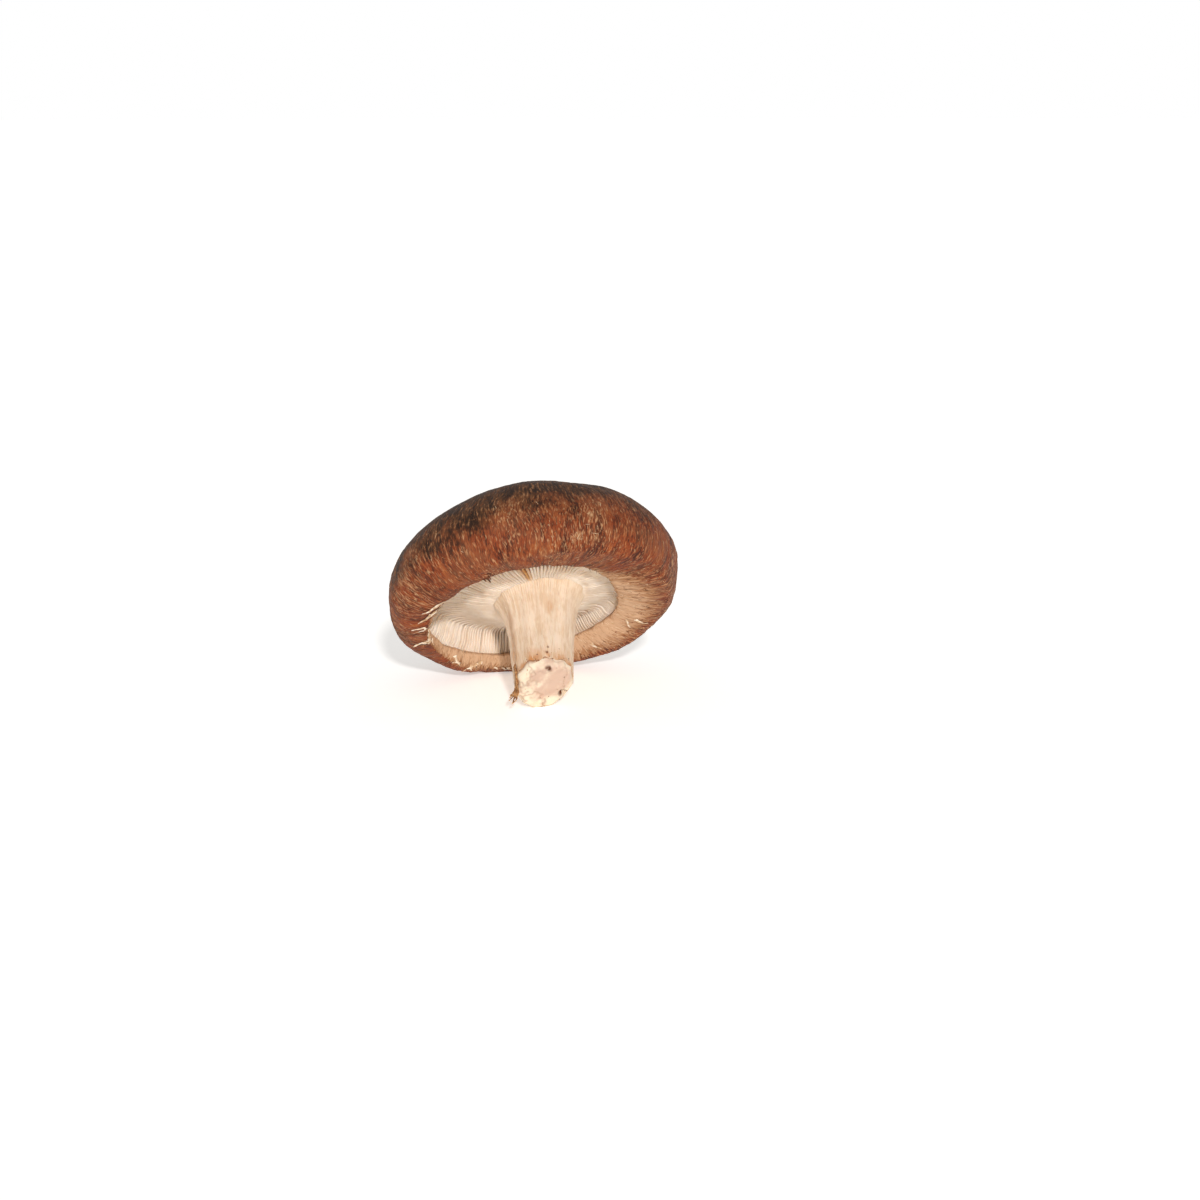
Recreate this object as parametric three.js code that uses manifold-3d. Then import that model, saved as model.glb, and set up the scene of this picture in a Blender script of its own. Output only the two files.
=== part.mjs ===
// A fresh shiitake mushroom as picked, lying tilted on a flat surface. It rests on the margin of its cap
// and on the cut foot of its stem, so that the gills under the cap can be seen. Cap, gills and stem grew
// as one body of flesh, so the mushroom is one solid.
//
// Units are millimetres and +Z is up. The mushroom is shaped upright on its own growing axis, with z = 0 at
// the cap's widest line, and is then tilted, turned and set down. The viewer stands at -Y. Angles round the
// growing axis start at +X, on the viewer's right, and +90 degrees is the side that touches the surface.

import * as THREE from "three";
import { mergeVertices } from "three/addons/utils/BufferGeometryUtils.js";
import Module from "manifold-3d";

const { lerp, smoothstep } = THREE.MathUtils;
const TURN = 2 * Math.PI;
const QUARTER = Math.PI / 2;
const DEGREE = Math.PI / 180;

// The cap: a dome down to its widest line, and a thick margin rolled in below it, thinner on the right.
const CAP_RADIUS = 36.3;
const DOME_HEIGHT = 22.3;
const APEX_SHIFT = 4.6;
const MARGIN_DROP = 7.5;
const MARGIN_ROLL = 6.2;
const ROLL_LOSS = 1.8;
const FIBRE_RELIEF = 0.28;

// The pale inner face of the margin, which ends in a ragged edge that stands proud of the gills.
const VEIL_RADIUS = 23.4;
const VEIL_SHIFT = new THREE.Vector2(-2.9, 1.5);
const VEIL_HEIGHT = -5.2;
const VEIL_RAGGED = 0.7;
const VEIL_OVERHANG = 0.5;

// The gills hang from the flesh under the cap. Their edges climb into the cap just inside the margin, most
// on the side that touches the surface, and come down again towards the stem. Every other gill is short,
// and runs out somewhere between these two shares of the way to the stem.
const LONG_GILLS = 48;
const SHORT_GILL_ENDS = [0.3, 0.64];
const GILL_OUTER_HEIGHT = -3.4;
const GILL_INNER_HEIGHT = -3;
const GILL_HOLLOW = 4.5;
const LEAST_HOLLOW = 0.15;
const HOLLOW_ANGLE = 140 * DEGREE;
const HOLLOW_SHARE = 0.16;
const GILL_DEPTH = 2.4;
const GILL_EDGE_WIDTH = 0.5;
const GILL_ROOT_WIDTH = 0.78;
const GILL_SWAY = 0.014;

// The stem widens towards the gills, leans a little, and was sliced off at a slant.
const STEM_RADIUS = 6.8;
const STEM_TAPER = 0.2;
const STEM_FLARE = 3.1;
const FLARE_LENGTH = 12;
const STEM_LENGTH = 27.3;
const STEM_TOP_SHIFT = 1.2;
const STEM_FOOT_SHIFT = -2.2;
const STEM_FLUTE = 0.16;
const FOOT_SLANT = 22 * DEGREE;
const FOOT_ROUNDING = 0.9;
const FOOT_TEAR = 0.3;

// How it lies: tilted back until the margin touches, turned a little, and bedded on two flat spots.
const TILT = 42.1 * DEGREE;
const TURNED = 14 * DEGREE;
const AXIS_HEIGHT = 26.25;
const ORIGIN_SHIFT = new THREE.Vector2(-0.38, -0.77);

// How finely each zone is divided.
const CAP_COLUMNS = 96;
const DOME_RINGS = 14;
const MARGIN_RINGS = 6;
const VEIL_COLUMNS = 144;
const VEIL_RINGS = 3;
const CROWDED_RING_SHARES = [0, 0.07, 0.16, 0.3, 0.46, 0.64];
const LONG_ONLY_RINGS = 4;
const STEM_COLUMNS = 36;
const STEM_RINGS = 11;
const FOOT_RING_SHARES = [0.93, 0.7, 0.36];

// Repeatable noise from -0.5 to 0.5 for a pair of whole numbers.
function grain(column, row) {
  const wave = Math.sin(column * 127.1 + row * 311.7) * 43758.5453;
  return wave - Math.floor(wave) - 0.5;
}

function polar(radius, angle, height) {
  return new THREE.Vector3(radius * Math.cos(angle), radius * Math.sin(angle), height);
}

// One ring of points, counted anticlockwise seen from the cap's top. Each has its place, and its share of
// the turn round the growing axis.
function ring(count, placeAt) {
  return Array.from({ length: count }, (_, i) => ({ turn: i / count, place: placeAt((i / count) * TURN, i) }));
}

// The cap's outline is not quite round.
function outline(angle) {
  return 1 + 0.012 * Math.sin(2 * angle + 0.6) + 0.007 * Math.sin(3 * angle + 2.1);
}

// Broad hollows and swellings of the skin, in millimetres.
function swell(angle, lean) {
  return (
    0.3 * Math.sin(3 * angle + 2.5 * lean) +
    0.22 * Math.sin(5 * angle - 3.5 * lean + 1.3) +
    0.16 * Math.sin(8 * angle + 3 * lean + 0.4)
  );
}

// A point of the brown skin. lean is 0 at the top, a quarter turn at the widest line and a half turn at
// the lowest line of the margin. The relief fades out towards the top.
function skinPlace(angle, lean, column, row) {
  const onDome = lean <= QUARTER;
  const roll = MARGIN_ROLL - ROLL_LOSS * Math.cos(angle);
  const rollCentre = onDome ? 0 : CAP_RADIUS - roll;
  const across = onDome ? CAP_RADIUS : roll;
  const along = onDome ? DOME_HEIGHT : MARGIN_DROP;
  const relief = swell(angle, lean) + FIBRE_RELIEF * grain(column, Math.floor(row / 2));
  const lift = relief * Math.sin(Math.min(lean, QUARTER)) ** 2;
  const place = polar(
    (rollCentre + across * Math.sin(lean)) * outline(angle) + lift * Math.sin(lean),
    angle,
    (along + lift) * Math.cos(lean),
  );
  if (onDome) place.x += APEX_SHIFT * Math.cos(lean) ** 2;
  return place;
}

// Near the top there is room for fewer columns.
function capColumns(row) {
  if (row <= 2) return CAP_COLUMNS / 4;
  return row <= 5 ? CAP_COLUMNS / 2 : CAP_COLUMNS;
}

function capRings() {
  return Array.from({ length: DOME_RINGS + MARGIN_RINGS }, (_, i) => {
    const row = i + 1;
    const quarters = row <= DOME_RINGS ? row / DOME_RINGS : 1 + (row - DOME_RINGS) / MARGIN_RINGS;
    return ring(capColumns(row), (angle, column) => skinPlace(angle, quarters * QUARTER, column, row));
  });
}

// Radius of the ragged edge where the margin's inner face ends and the gills begin.
function veilEdge(angle) {
  const shift = VEIL_SHIFT.x * Math.cos(angle) + VEIL_SHIFT.y * Math.sin(angle);
  return VEIL_RADIUS + shift + 0.4 * Math.sin(3 * angle + 1) + 0.3 * Math.sin(5 * angle);
}

// The inner face curves from the margin's lowest line in and up to its ragged edge.
function veilRings() {
  return Array.from({ length: VEIL_RINGS }, (_, i) => {
    const share = (i + 1) / VEIL_RINGS;
    return ring(VEIL_COLUMNS, (angle, column) => {
      const lowest = skinPlace(angle, 2 * QUARTER, Math.floor(column / 2), DOME_RINGS + MARGIN_RINGS);
      const ragged = VEIL_RAGGED * grain(Math.floor(column / 2), 40) * share ** 3;
      const radius = lerp(Math.hypot(lowest.x, lowest.y), veilEdge(angle) + ragged, share);
      return polar(radius, angle, lerp(lowest.z, VEIL_HEIGHT, share ** 2));
    });
  });
}

// Height of the gills' edges. share is 0 at the margin and 1 at the stem.
function gillEdge(angle, share) {
  const hollow = GILL_HOLLOW * lerp(LEAST_HOLLOW, 1, (1 + Math.cos(angle - HOLLOW_ANGLE)) / 2);
  const climb = smoothstep(share, 0, HOLLOW_SHARE) * (1 - smoothstep(share, HOLLOW_SHARE, 1));
  return lerp(GILL_OUTER_HEIGHT, GILL_INNER_HEIGHT, share) + hollow * climb;
}

// How deep the spaces between the gills are. They close at the stem.
function gillDepth(share) {
  return GILL_DEPTH * smoothstep(1 - share, 0, 0.3);
}

// How much of its height a short gill has left.
function shortGillLeft(gill, share) {
  const end = lerp(...SHORT_GILL_ENDS, grain(gill, 50) + 0.5);
  return 1 - smoothstep(share, end - 0.15, end);
}

function stemRadius(angle, below) {
  const flutes = STEM_FLUTE * Math.sin(7 * angle + 1) + STEM_FLUTE * Math.sin(11 * angle + 0.05 * below);
  const taper = STEM_TAPER * (below / STEM_LENGTH);
  return STEM_RADIUS - taper + STEM_FLARE * Math.exp(-below / FLARE_LENGTH) + flutes;
}

// How far the stem's centre stands from the growing axis at a distance below the gills.
function stemCentre(below) {
  return lerp(STEM_TOP_SHIFT, STEM_FOOT_SHIFT, below / STEM_LENGTH);
}

// One point of a gill ring. aside is how far it stands beside its gill's middle, in millimetres, and left
// is how much of its depth the gill has there.
function gillPoint(share, middle, aside, left) {
  const sway = GILL_SWAY * Math.sin(9 * share + 2 * Math.sin(3 * middle)) * Math.sin(share * Math.PI);
  const radius = lerp(veilEdge(middle) + VEIL_OVERHANG, stemRadius(middle, 0), share);
  const angle = middle + aside / radius;
  const height = gillEdge(middle, share) + gillDepth(share) * (1 - left);
  const place = polar(radius, angle + sway, height);
  place.x += stemCentre(0) * share;
  return { turn: angle / TURN, place };
}

// A ring across the gills: each has a flat edge, and slopes away to its root on both sides.
function gillRing(share, gills) {
  return Array.from({ length: gills }, (_, gill) => {
    const middle = (gill / gills) * TURN;
    const isShort = gills > LONG_GILLS && gill % 2 === 1;
    const left = isShort ? shortGillLeft(gill, share) : 1;
    return [
      gillPoint(share, middle, -GILL_ROOT_WIDTH / 2, 0),
      gillPoint(share, middle, -GILL_EDGE_WIDTH / 2, left),
      gillPoint(share, middle, GILL_EDGE_WIDTH / 2, left),
      gillPoint(share, middle, GILL_ROOT_WIDTH / 2, 0),
    ];
  }).flat();
}

function gillRings() {
  const turnover = SHORT_GILL_ENDS[1];
  const crowded = CROWDED_RING_SHARES.map((share) => gillRing(share, 2 * LONG_GILLS));
  const longOnly = Array.from({ length: LONG_ONLY_RINGS }, (_, i) =>
    gillRing(lerp(turnover, 0.98, (i + 1) / LONG_ONLY_RINGS), LONG_GILLS),
  );
  return [...crowded, ...longOnly];
}

// Distance below the gills at which the slanting cut meets the stem's side. The side away from the surface
// was cut shorter.
function cutDistance(angle) {
  return STEM_LENGTH - STEM_RADIUS * (1 - Math.sin(angle)) * Math.tan(FOOT_SLANT);
}

function stemPlace(angle, below, inward, torn) {
  const place = polar(stemRadius(angle, below) * inward, angle, GILL_INNER_HEIGHT - below + torn);
  place.x += stemCentre(below);
  return place;
}

function stemRings() {
  return Array.from({ length: STEM_RINGS }, (_, i) => {
    const share = (i / (STEM_RINGS - 1)) ** 1.25;
    return ring(STEM_COLUMNS, (angle) => stemPlace(angle, share * (cutDistance(angle) - FOOT_ROUNDING), 1, 0));
  });
}

// The cut face of the foot, with a rounded and slightly torn rim.
function footRings() {
  const middle = STEM_LENGTH - STEM_RADIUS * Math.tan(FOOT_SLANT);
  return FOOT_RING_SHARES.map((inward, i) =>
    ring(STEM_COLUMNS, (angle, column) => {
      const torn = FOOT_TEAR * grain(Math.floor(column / 2), 60 + i);
      return stemPlace(angle, lerp(middle, cutDistance(angle), inward), inward, torn);
    }),
  );
}

// Triangles between two rings that may have different counts, upper ring first. Of the two next stretches
// along the rings, each step takes the one that comes first round the growing axis.
function stitch(upper, lower) {
  const turn = (points, i) => points[i % points.length].turn + Math.floor(i / points.length);
  const halfway = (points, i) => (turn(points, i) + turn(points, i + 1)) / 2;
  const triangles = [];
  let a = 0;
  let b = 0;
  while (a < upper.length || b < lower.length) {
    const upperComesFirst = a < upper.length && halfway(upper, a) <= halfway(lower, b);
    const onUpper = b === lower.length || upperComesFirst;
    const corners = [upper[a % upper.length], lower[b % lower.length]];
    if (onUpper) a += 1;
    else b += 1;
    corners.push(onUpper ? upper[a % upper.length] : lower[b % lower.length]);
    if (new Set(corners).size === 3) triangles.push(corners);
  }
  return triangles;
}

// A closed skin over the rings. The first and the last ring are single points.
function closedSkin(rings) {
  const points = rings.flat();
  const numbers = new Map(points.map((point, i) => [point, i]));
  const triangles = rings.slice(1).flatMap((lower, i) => stitch(rings[i], lower));
  const corners = triangles.flat().map((point) => numbers.get(point));
  return new THREE.BufferGeometry().setFromPoints(points.map((point) => point.place)).setIndex(corners);
}

// Tilts, turns and lowers the upright mushroom until it beds into the surface at z = 0.
function lying(geometry) {
  return geometry
    .rotateX(-TILT)
    .rotateZ(TURNED)
    .translate(ORIGIN_SHIFT.x, ORIGIN_SHIFT.y, AXIS_HEIGHT);
}

const wasm = await Module();
wasm.setup();

function toSolid(geometry) {
  const bare = new THREE.BufferGeometry().setAttribute("position", geometry.getAttribute("position"));
  const merged = mergeVertices(bare.setIndex(geometry.index), 1e-4);
  return new wasm.Manifold(
    new wasm.Mesh({
      numProp: 3,
      vertProperties: merged.attributes.position.array,
      triVerts: new Uint32Array(merged.index.array),
    }),
  );
}

function toGeometry(solid) {
  const mesh = solid.getMesh();
  const geometry = new THREE.BufferGeometry();
  geometry.setAttribute("position", new THREE.BufferAttribute(mesh.vertProperties, 3));
  geometry.setIndex(new THREE.BufferAttribute(mesh.triVerts, 1));
  geometry.computeVertexNormals();
  return geometry;
}

// The flesh presses flat where it touches the surface: everything below z = 0 is cut away.
function pressedFlat(geometry) {
  const size = 200;
  const below = new THREE.BoxGeometry(size, size, size).translate(0, 0, -size / 2);
  return toGeometry(toSolid(geometry).subtract(toSolid(below)));
}

const capTop = ring(1, () => new THREE.Vector3(APEX_SHIFT, 0, DOME_HEIGHT));
const footMiddle = ring(1, () => stemPlace(0, STEM_LENGTH - STEM_RADIUS * Math.tan(FOOT_SLANT), 0, 0));
const underside = [...veilRings(), ...gillRings(), ...stemRings(), ...footRings()];

const mushroom = new THREE.Mesh(
  pressedFlat(lying(closedSkin([capTop, ...capRings(), ...underside, footMiddle]))),
  new THREE.MeshStandardMaterial({ color: "#7a4a30", roughness: 0.6, metalness: 0 }),
);
mushroom.name = "shiitake";

const group = new THREE.Group();
group.add(mushroom);

export default group;
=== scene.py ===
"""The looks of a fresh shiitake mushroom that lies tilted on a pale surface.

The mushroom is shaped upright on its growing axis in millimetres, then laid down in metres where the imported
solid lies. Its cap, gills, stem and cut foot are pieces of their own here, with the fibres, shreds and crumbs
that the solid leaves out.
"""

import logging
import math
from abc import ABC, abstractmethod
from dataclasses import dataclass, field
from enum import Enum
from typing import Any, ClassVar

import bmesh
import bpy
import numpy as np
from mathutils import Matrix, Vector


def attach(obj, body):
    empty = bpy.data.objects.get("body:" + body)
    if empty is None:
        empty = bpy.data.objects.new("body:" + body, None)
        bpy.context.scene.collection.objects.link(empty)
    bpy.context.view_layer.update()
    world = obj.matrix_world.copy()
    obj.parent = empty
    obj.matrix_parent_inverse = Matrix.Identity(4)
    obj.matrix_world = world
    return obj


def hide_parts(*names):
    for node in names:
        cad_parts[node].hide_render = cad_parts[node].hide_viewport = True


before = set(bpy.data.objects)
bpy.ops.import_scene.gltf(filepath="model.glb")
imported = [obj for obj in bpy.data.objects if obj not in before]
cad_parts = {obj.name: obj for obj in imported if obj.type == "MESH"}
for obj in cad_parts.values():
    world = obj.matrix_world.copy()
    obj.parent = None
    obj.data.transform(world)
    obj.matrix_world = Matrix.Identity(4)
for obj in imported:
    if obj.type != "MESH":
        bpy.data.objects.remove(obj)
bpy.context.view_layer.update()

log = logging.getLogger("shiitake")

Array = np.ndarray
Socket = bpy.types.NodeSocket
MM = 0.001
TURN = 2 * math.pi
QUARTER = math.pi / 2


class Slot(Enum):
    """The record's material slots."""

    CAP_SKIN = "cap_skin"
    MARGIN_FLESH = "margin_flesh"
    GILLS = "gills"
    STEM_FLESH = "stem_flesh"
    CUT_FOOT = "cut_foot"


class Grain:
    """Smooth repeatable noise in three dimensions, from -1 to 1, with one wave to a unit."""

    def __init__(self, seed: int) -> None:
        """Shuffles the tables that the noise is read from."""
        source = np.random.default_rng(seed)
        self.values = source.uniform(-1, 1, 256)
        self.order = source.permutation(256)

    def at(self, points: Array, scale: float | tuple[float, float, float]) -> Array:
        """Reads the noise.

        Args:
            points: Places to read at, one a row.
            scale: Waves to a unit, one number for all axes or one for each.

        Returns:
            One value for each place.
        """
        scaled = points * np.array(scale)
        cell = np.floor(scaled).astype(int)
        part = scaled - cell
        blend = part * part * (3 - 2 * part)
        total = np.zeros(len(points))
        for corner in np.ndindex(2, 2, 2):
            number = np.zeros(len(points), int)
            weight = np.ones(len(points))
            for axis, step in enumerate(corner):
                number = self.order[(number + cell[:, axis] + step) & 255]
                weight *= blend[:, axis] if step else 1 - blend[:, axis]
            total += weight * self.values[number]
        return total


@dataclass(frozen=True)
class Layer:
    """One layer of unevenness: which grain it comes from, its waves to a millimetre and its height."""

    grain: int
    waves: float | tuple[float, float, float]
    height: float = 1.0


def layered(grains: list[Grain], points: Array, layers: tuple[Layer, ...]) -> Array:
    """How far layers of unevenness, added up, stand out at points."""
    return sum(layer.height * grains[layer.grain].at(points, layer.waves) for layer in layers)


def lerp(start: Any, end: Any, share: Any) -> Any:
    """Goes from start to end as share goes from 0 to 1."""
    return start + (end - start) * share


def ease(start: float, end: float, value: Any) -> Any:
    """Goes smoothly from 0 to 1 as value goes from start to end."""
    share = np.clip((value - start) / (end - start), 0, 1)
    return share * share * (3 - 2 * share)


def around(radius: Any, angle: Array, height: Any) -> Array:
    """Points at a radius, angle and height about the growing axis, one a row."""
    columns = (radius * np.cos(angle), radius * np.sin(angle), height)
    return np.stack(np.broadcast_arrays(*columns), axis=-1)


def ring_of(count: int) -> Array:
    """Angles of evenly spaced points round the axis."""
    return np.arange(count) / count * TURN


@dataclass(frozen=True)
class Form:
    """The upright mushroom's shape in millimetres, with z = 0 at the cap's widest line.

    Angles start at the viewer's right, and a quarter turn is the side that touches the surface.
    """

    cap_radius: float = 36.3
    dome_height: float = 22.3
    apex_shift: float = 4.6
    margin_drop: float = 7.5
    margin_roll: float = 6.2
    roll_loss: float = 1.8
    veil_radius: float = 23.4
    veil_shift: tuple[float, float] = (-2.9, 1.5)
    veil_height: float = -5.2
    veil_drop: float = 1.4
    veil_overhang: float = 0.5
    gill_outer_height: float = -4.1
    gill_inner_height: float = -3.0
    gill_hollow: float = 5.2
    least_hollow: float = 0.15
    hollow_angle: float = math.radians(140)
    hollow_share: float = 0.16
    gill_depth: float = 2.4
    gill_sway: float = 0.014
    stem_width: float = 6.8
    stem_taper: float = 0.2
    stem_flare: float = 3.1
    flare_length: float = 12.0
    stem_length: float = 27.3
    stem_top_shift: float = 1.2
    stem_foot_shift: float = -2.2
    stem_flute: float = 0.16
    foot_slant: float = math.radians(22)
    tilt: float = math.radians(42.1)
    turned: float = math.radians(14)
    rest: tuple[float, float, float] = (-0.38, -0.77, 26.25)

    def outline(self, angle: Array) -> Array:
        """Share of the cap's radius: the cap is not quite round."""
        return 1 + 0.012 * np.sin(2 * angle + 0.6) + 0.007 * np.sin(3 * angle + 2.1)

    def swell(self, angle: Array, lean: float) -> Array:
        """Broad hollows and swellings of the skin, which fade out at the top."""
        waves = 0.3 * np.sin(3 * angle + 2.5 * lean) + 0.22 * np.sin(5 * angle - 3.5 * lean + 1.3)
        waves = waves + 0.16 * np.sin(8 * angle + 3 * lean + 0.4)
        return waves * math.sin(min(lean, QUARTER)) ** 2

    def skin(self, angle: Array, lean: float, lift: Any = 0.0) -> Array:
        """Points of the brown skin.

        Args:
            angle: Angles round the growing axis.
            lean: 0 at the top, a quarter turn at the widest line, a half turn at the margin's lowest line.
            lift: How far the points stand out of the skin.

        Returns:
            One point a row.
        """
        roll = self.margin_roll - self.roll_loss * np.cos(angle)
        on_dome = lean <= QUARTER
        centre = 0.0 if on_dome else self.cap_radius - roll
        across = self.cap_radius if on_dome else roll
        along = self.dome_height if on_dome else self.margin_drop
        raised = self.swell(angle, lean) + lift
        radius = (centre + across * math.sin(lean)) * self.outline(angle) + raised * math.sin(lean)
        points = around(radius, angle, (along + raised) * math.cos(lean))
        if on_dome:
            points[:, 0] += self.apex_shift * math.cos(lean) ** 2
        return points

    def veil_edge(self, angle: Array) -> Array:
        """Radius where the margin's inner face ends and the gills begin."""
        shift = self.veil_shift[0] * np.cos(angle) + self.veil_shift[1] * np.sin(angle)
        return self.veil_radius + shift + 0.4 * np.sin(3 * angle + 1) + 0.3 * np.sin(5 * angle)

    def veil_level(self, angle: Array) -> Array:
        """Height of the inner face's edge, which hangs lowest on the side near the viewer's left."""
        return self.veil_height - self.veil_drop * np.maximum(-np.sin(angle + 0.61), 0) ** 2

    def gill_edge(self, angle: Array, share: Any) -> Array:
        """Height of the gills' edges, from the margin at 0 to the stem at 1.

        They climb into the cap just inside the margin and come down again towards the stem.
        """
        most = (1 + np.cos(angle - self.hollow_angle)) / 2
        hollow = self.gill_hollow * lerp(self.least_hollow, 1.0, most)
        rising = np.minimum(share / self.hollow_share, 1)
        climb = np.sin(rising * QUARTER) * (1 - ease(self.hollow_share, 1.0, share))
        return lerp(self.gill_outer_height, self.gill_inner_height, share) + hollow * climb

    def gill_space(self, share: Any) -> Any:
        """Depth of the spaces between the gills, which close at the stem."""
        return self.gill_depth * ease(0, 0.3, 1 - share)

    def gill_radius(self, angle: Array, share: Any) -> Array:
        """Radius at a share of the way along the gills."""
        return lerp(self.veil_edge(angle) + self.veil_overhang, self.stem_radius(angle, 0), share)

    def into_flesh(self, angle: Array, share: Any) -> tuple[Array, Array]:
        """The direction square to the gills' edges, as its parts away from the axis and up it."""
        before, after = np.maximum(share - 0.004, 0), np.minimum(share + 0.004, 1)
        outward = self.gill_edge(angle, after) - self.gill_edge(angle, before)
        upward = self.gill_radius(angle, before) - self.gill_radius(angle, after)
        length = np.hypot(outward, upward)
        return outward / length, upward / length

    def gill_place(self, angle: Array, share: Any, deep: Any) -> Array:
        """Points between the gills' edges and the flesh that they hang from.

        Args:
            angle: Angles round the growing axis.
            share: 0 at the margin and 1 at the stem.
            deep: Distances from the edges into the flesh.

        Returns:
            One point a row.
        """
        outward, upward = self.into_flesh(angle, share)
        radius = self.gill_radius(angle, share) + outward * deep
        sway = self.gill_sway * np.sin(9 * share + 2 * np.sin(3 * angle)) * np.sin(share * math.pi)
        points = around(radius, angle + sway, self.gill_edge(angle, share) + upward * deep)
        points[:, 0] += self.stem_centre(0) * share
        return points

    def stem_radius(self, angle: Array, below: Any) -> Array:
        """Radius of the stem at a distance below the gills."""
        flutes = self.stem_flute * (np.sin(7 * angle + 1) + np.sin(11 * angle + 0.05 * below))
        taper = self.stem_taper * (below / self.stem_length)
        return self.stem_width - taper + self.stem_flare * np.exp(-below / self.flare_length) + flutes

    def stem_centre(self, below: Any) -> Any:
        """How far the stem's centre stands from the growing axis."""
        return lerp(self.stem_top_shift, self.stem_foot_shift, below / self.stem_length)

    def cut_distance(self, angle: Array) -> Array:
        """Distance below the gills at which the slanting cut meets the stem's side."""
        return self.stem_length - self.stem_width * (1 - np.sin(angle)) * math.tan(self.foot_slant)

    def stem_place(self, angle: Array, below: Array, inward: Any = 1.0, lift: Any = 0.0) -> Array:
        """Points of the stem.

        Args:
            angle: Angles round the stem.
            below: Distances below the gills.
            inward: Share of the stem's radius.
            lift: How far the points stand out of the stem's side.

        Returns:
            One point a row.
        """
        radius = self.stem_radius(angle, np.maximum(below, 0)) * inward + lift
        points = around(radius, angle, self.gill_inner_height - below)
        points[:, 0] += self.stem_centre(below)
        return points

    def lay(self, points: Array) -> Array:
        """Tilts, turns and lowers upright points, and turns millimetres to metres."""
        return (self.turn_down(points) + np.array(self.rest)) * MM

    def turn_down(self, directions: Array) -> Array:
        """Tilts and turns upright directions."""
        turn = Matrix.Rotation(self.turned, 3, "Z") @ Matrix.Rotation(-self.tilt, 3, "X")
        return directions @ np.array(turn).T


def bedded(points: Array) -> Array:
    """Presses flat what would reach below the surface."""
    pressed = points.copy()
    pressed[:, 2] = np.maximum(pressed[:, 2], 0.0)
    return pressed


def unit(vectors: Array) -> Array:
    """The same directions with a length of 1."""
    return vectors / np.maximum(np.linalg.norm(vectors, axis=-1, keepdims=True), 1e-12)


def stitch(upper: range, lower: range) -> list[tuple[int, int, int]]:
    """Joins two rings of vertices that may have different counts.

    Args:
        upper: Vertex numbers of the upper ring, anticlockwise seen from above.
        lower: Vertex numbers of the lower ring.

    Returns:
        Triangles that face out.
    """
    triangles = []
    above, below = 0, 0
    while above < len(upper) or below < len(lower):
        comes_first = (above + 0.5) * len(lower) <= (below + 0.5) * len(upper)
        on_upper = below == len(lower) or (above < len(upper) and comes_first)
        corners = [upper[above % len(upper)], lower[below % len(lower)]]
        if on_upper:
            above += 1
            corners.append(upper[above % len(upper)])
        else:
            below += 1
            corners.append(lower[below % len(lower)])
        if len(set(corners)) == 3:
            triangles.append(tuple(corners))
    return triangles


def make_mesh(name: str, points: Array, parts: dict[str, list], marks: dict[str, Array]) -> bpy.types.Object:
    """Makes an object whose place is in its mesh.

    Args:
        name: The object's name.
        points: Places in metres, one a row.
        parts: The lists of edges and faces, each of which may be left out.
        marks: Named values for each point, numbers or vectors.

    Returns:
        The new object, smooth shaded.
    """
    mesh = bpy.data.meshes.new(name)
    mesh.from_pydata(points.tolist(), parts.get("edges", []), parts.get("faces", []))
    for mark, values in marks.items():
        is_vector = values.ndim == 2
        made = mesh.attributes.new(mark, "FLOAT_VECTOR" if is_vector else "FLOAT", "POINT")
        made.data.foreach_set("vector" if is_vector else "value", values.astype(np.float32).ravel())
    mesh.shade_smooth()
    piece = bpy.data.objects.new(name, mesh)
    bpy.context.scene.collection.objects.link(piece)
    return piece


def joined(marks: list[dict[str, Array]]) -> dict[str, Array]:
    """Puts the named values of many groups of points in one row each."""
    return {name: np.concatenate([group[name] for group in marks]) for name in marks[0]}


def place_of(piece: bpy.types.Object) -> Array:
    """Places of a piece's points, one a row."""
    places = np.zeros(len(piece.data.vertices) * 3)
    piece.data.vertices.foreach_get("co", places)
    return places.reshape(-1, 3)


def face_out(piece: bpy.types.Object) -> None:
    """Turns every face of a closed piece to the outside."""
    shape = bmesh.new()
    shape.from_mesh(piece.data)
    bmesh.ops.recalc_face_normals(shape, faces=shape.faces)
    shape.to_mesh(piece.data)
    shape.free()


class Skin:
    """Rings of points, from the top ring down, that are closed to one skin where the mushroom lies."""

    def __init__(self, form: Form) -> None:
        """Starts with no rings."""
        self.form = form
        self.rings: list[Array] = []
        self.marks: list[dict[str, Array]] = []

    def add(self, points: Array, marks: dict[str, Array]) -> None:
        """Keeps one ring of upright points with its named values. The first and last are single points."""
        self.rings.append(bedded(self.form.lay(points)))
        self.marks.append(marks)

    def close(self, name: str, material: bpy.types.Material) -> bpy.types.Object:
        """Makes the skin, with its faces turned out.

        Args:
            name: The object's name.
            material: Its finish.

        Returns:
            The new object.
        """
        starts = np.cumsum([0] + [len(ring) for ring in self.rings])
        numbers = [range(start, end) for start, end in zip(starts, starts[1:])]
        faces = [face for upper, lower in zip(numbers, numbers[1:]) for face in stitch(upper, lower)]
        piece = make_mesh(name, np.concatenate(self.rings), {"faces": faces}, joined(self.marks))
        piece.data.materials.append(material)
        face_out(piece)
        return piece


def linear(colour: str) -> tuple[float, float, float, float]:
    """Turns an sRGB hex colour to linear red, green, blue and alpha."""
    parts = [int(colour[i : i + 2], 16) / 255 for i in (1, 3, 5)]
    return (*(p / 12.92 if p <= 0.04045 else ((p + 0.055) / 1.055) ** 2.4 for p in parts), 1.0)


def find_socket(sockets: Any, key: int | str) -> Socket:
    """Finds a socket by its number, its identifier or its name."""
    if isinstance(key, int):
        return sockets[key]
    return next((s for s in sockets if s.identifier == key), None) or sockets[key]


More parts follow.
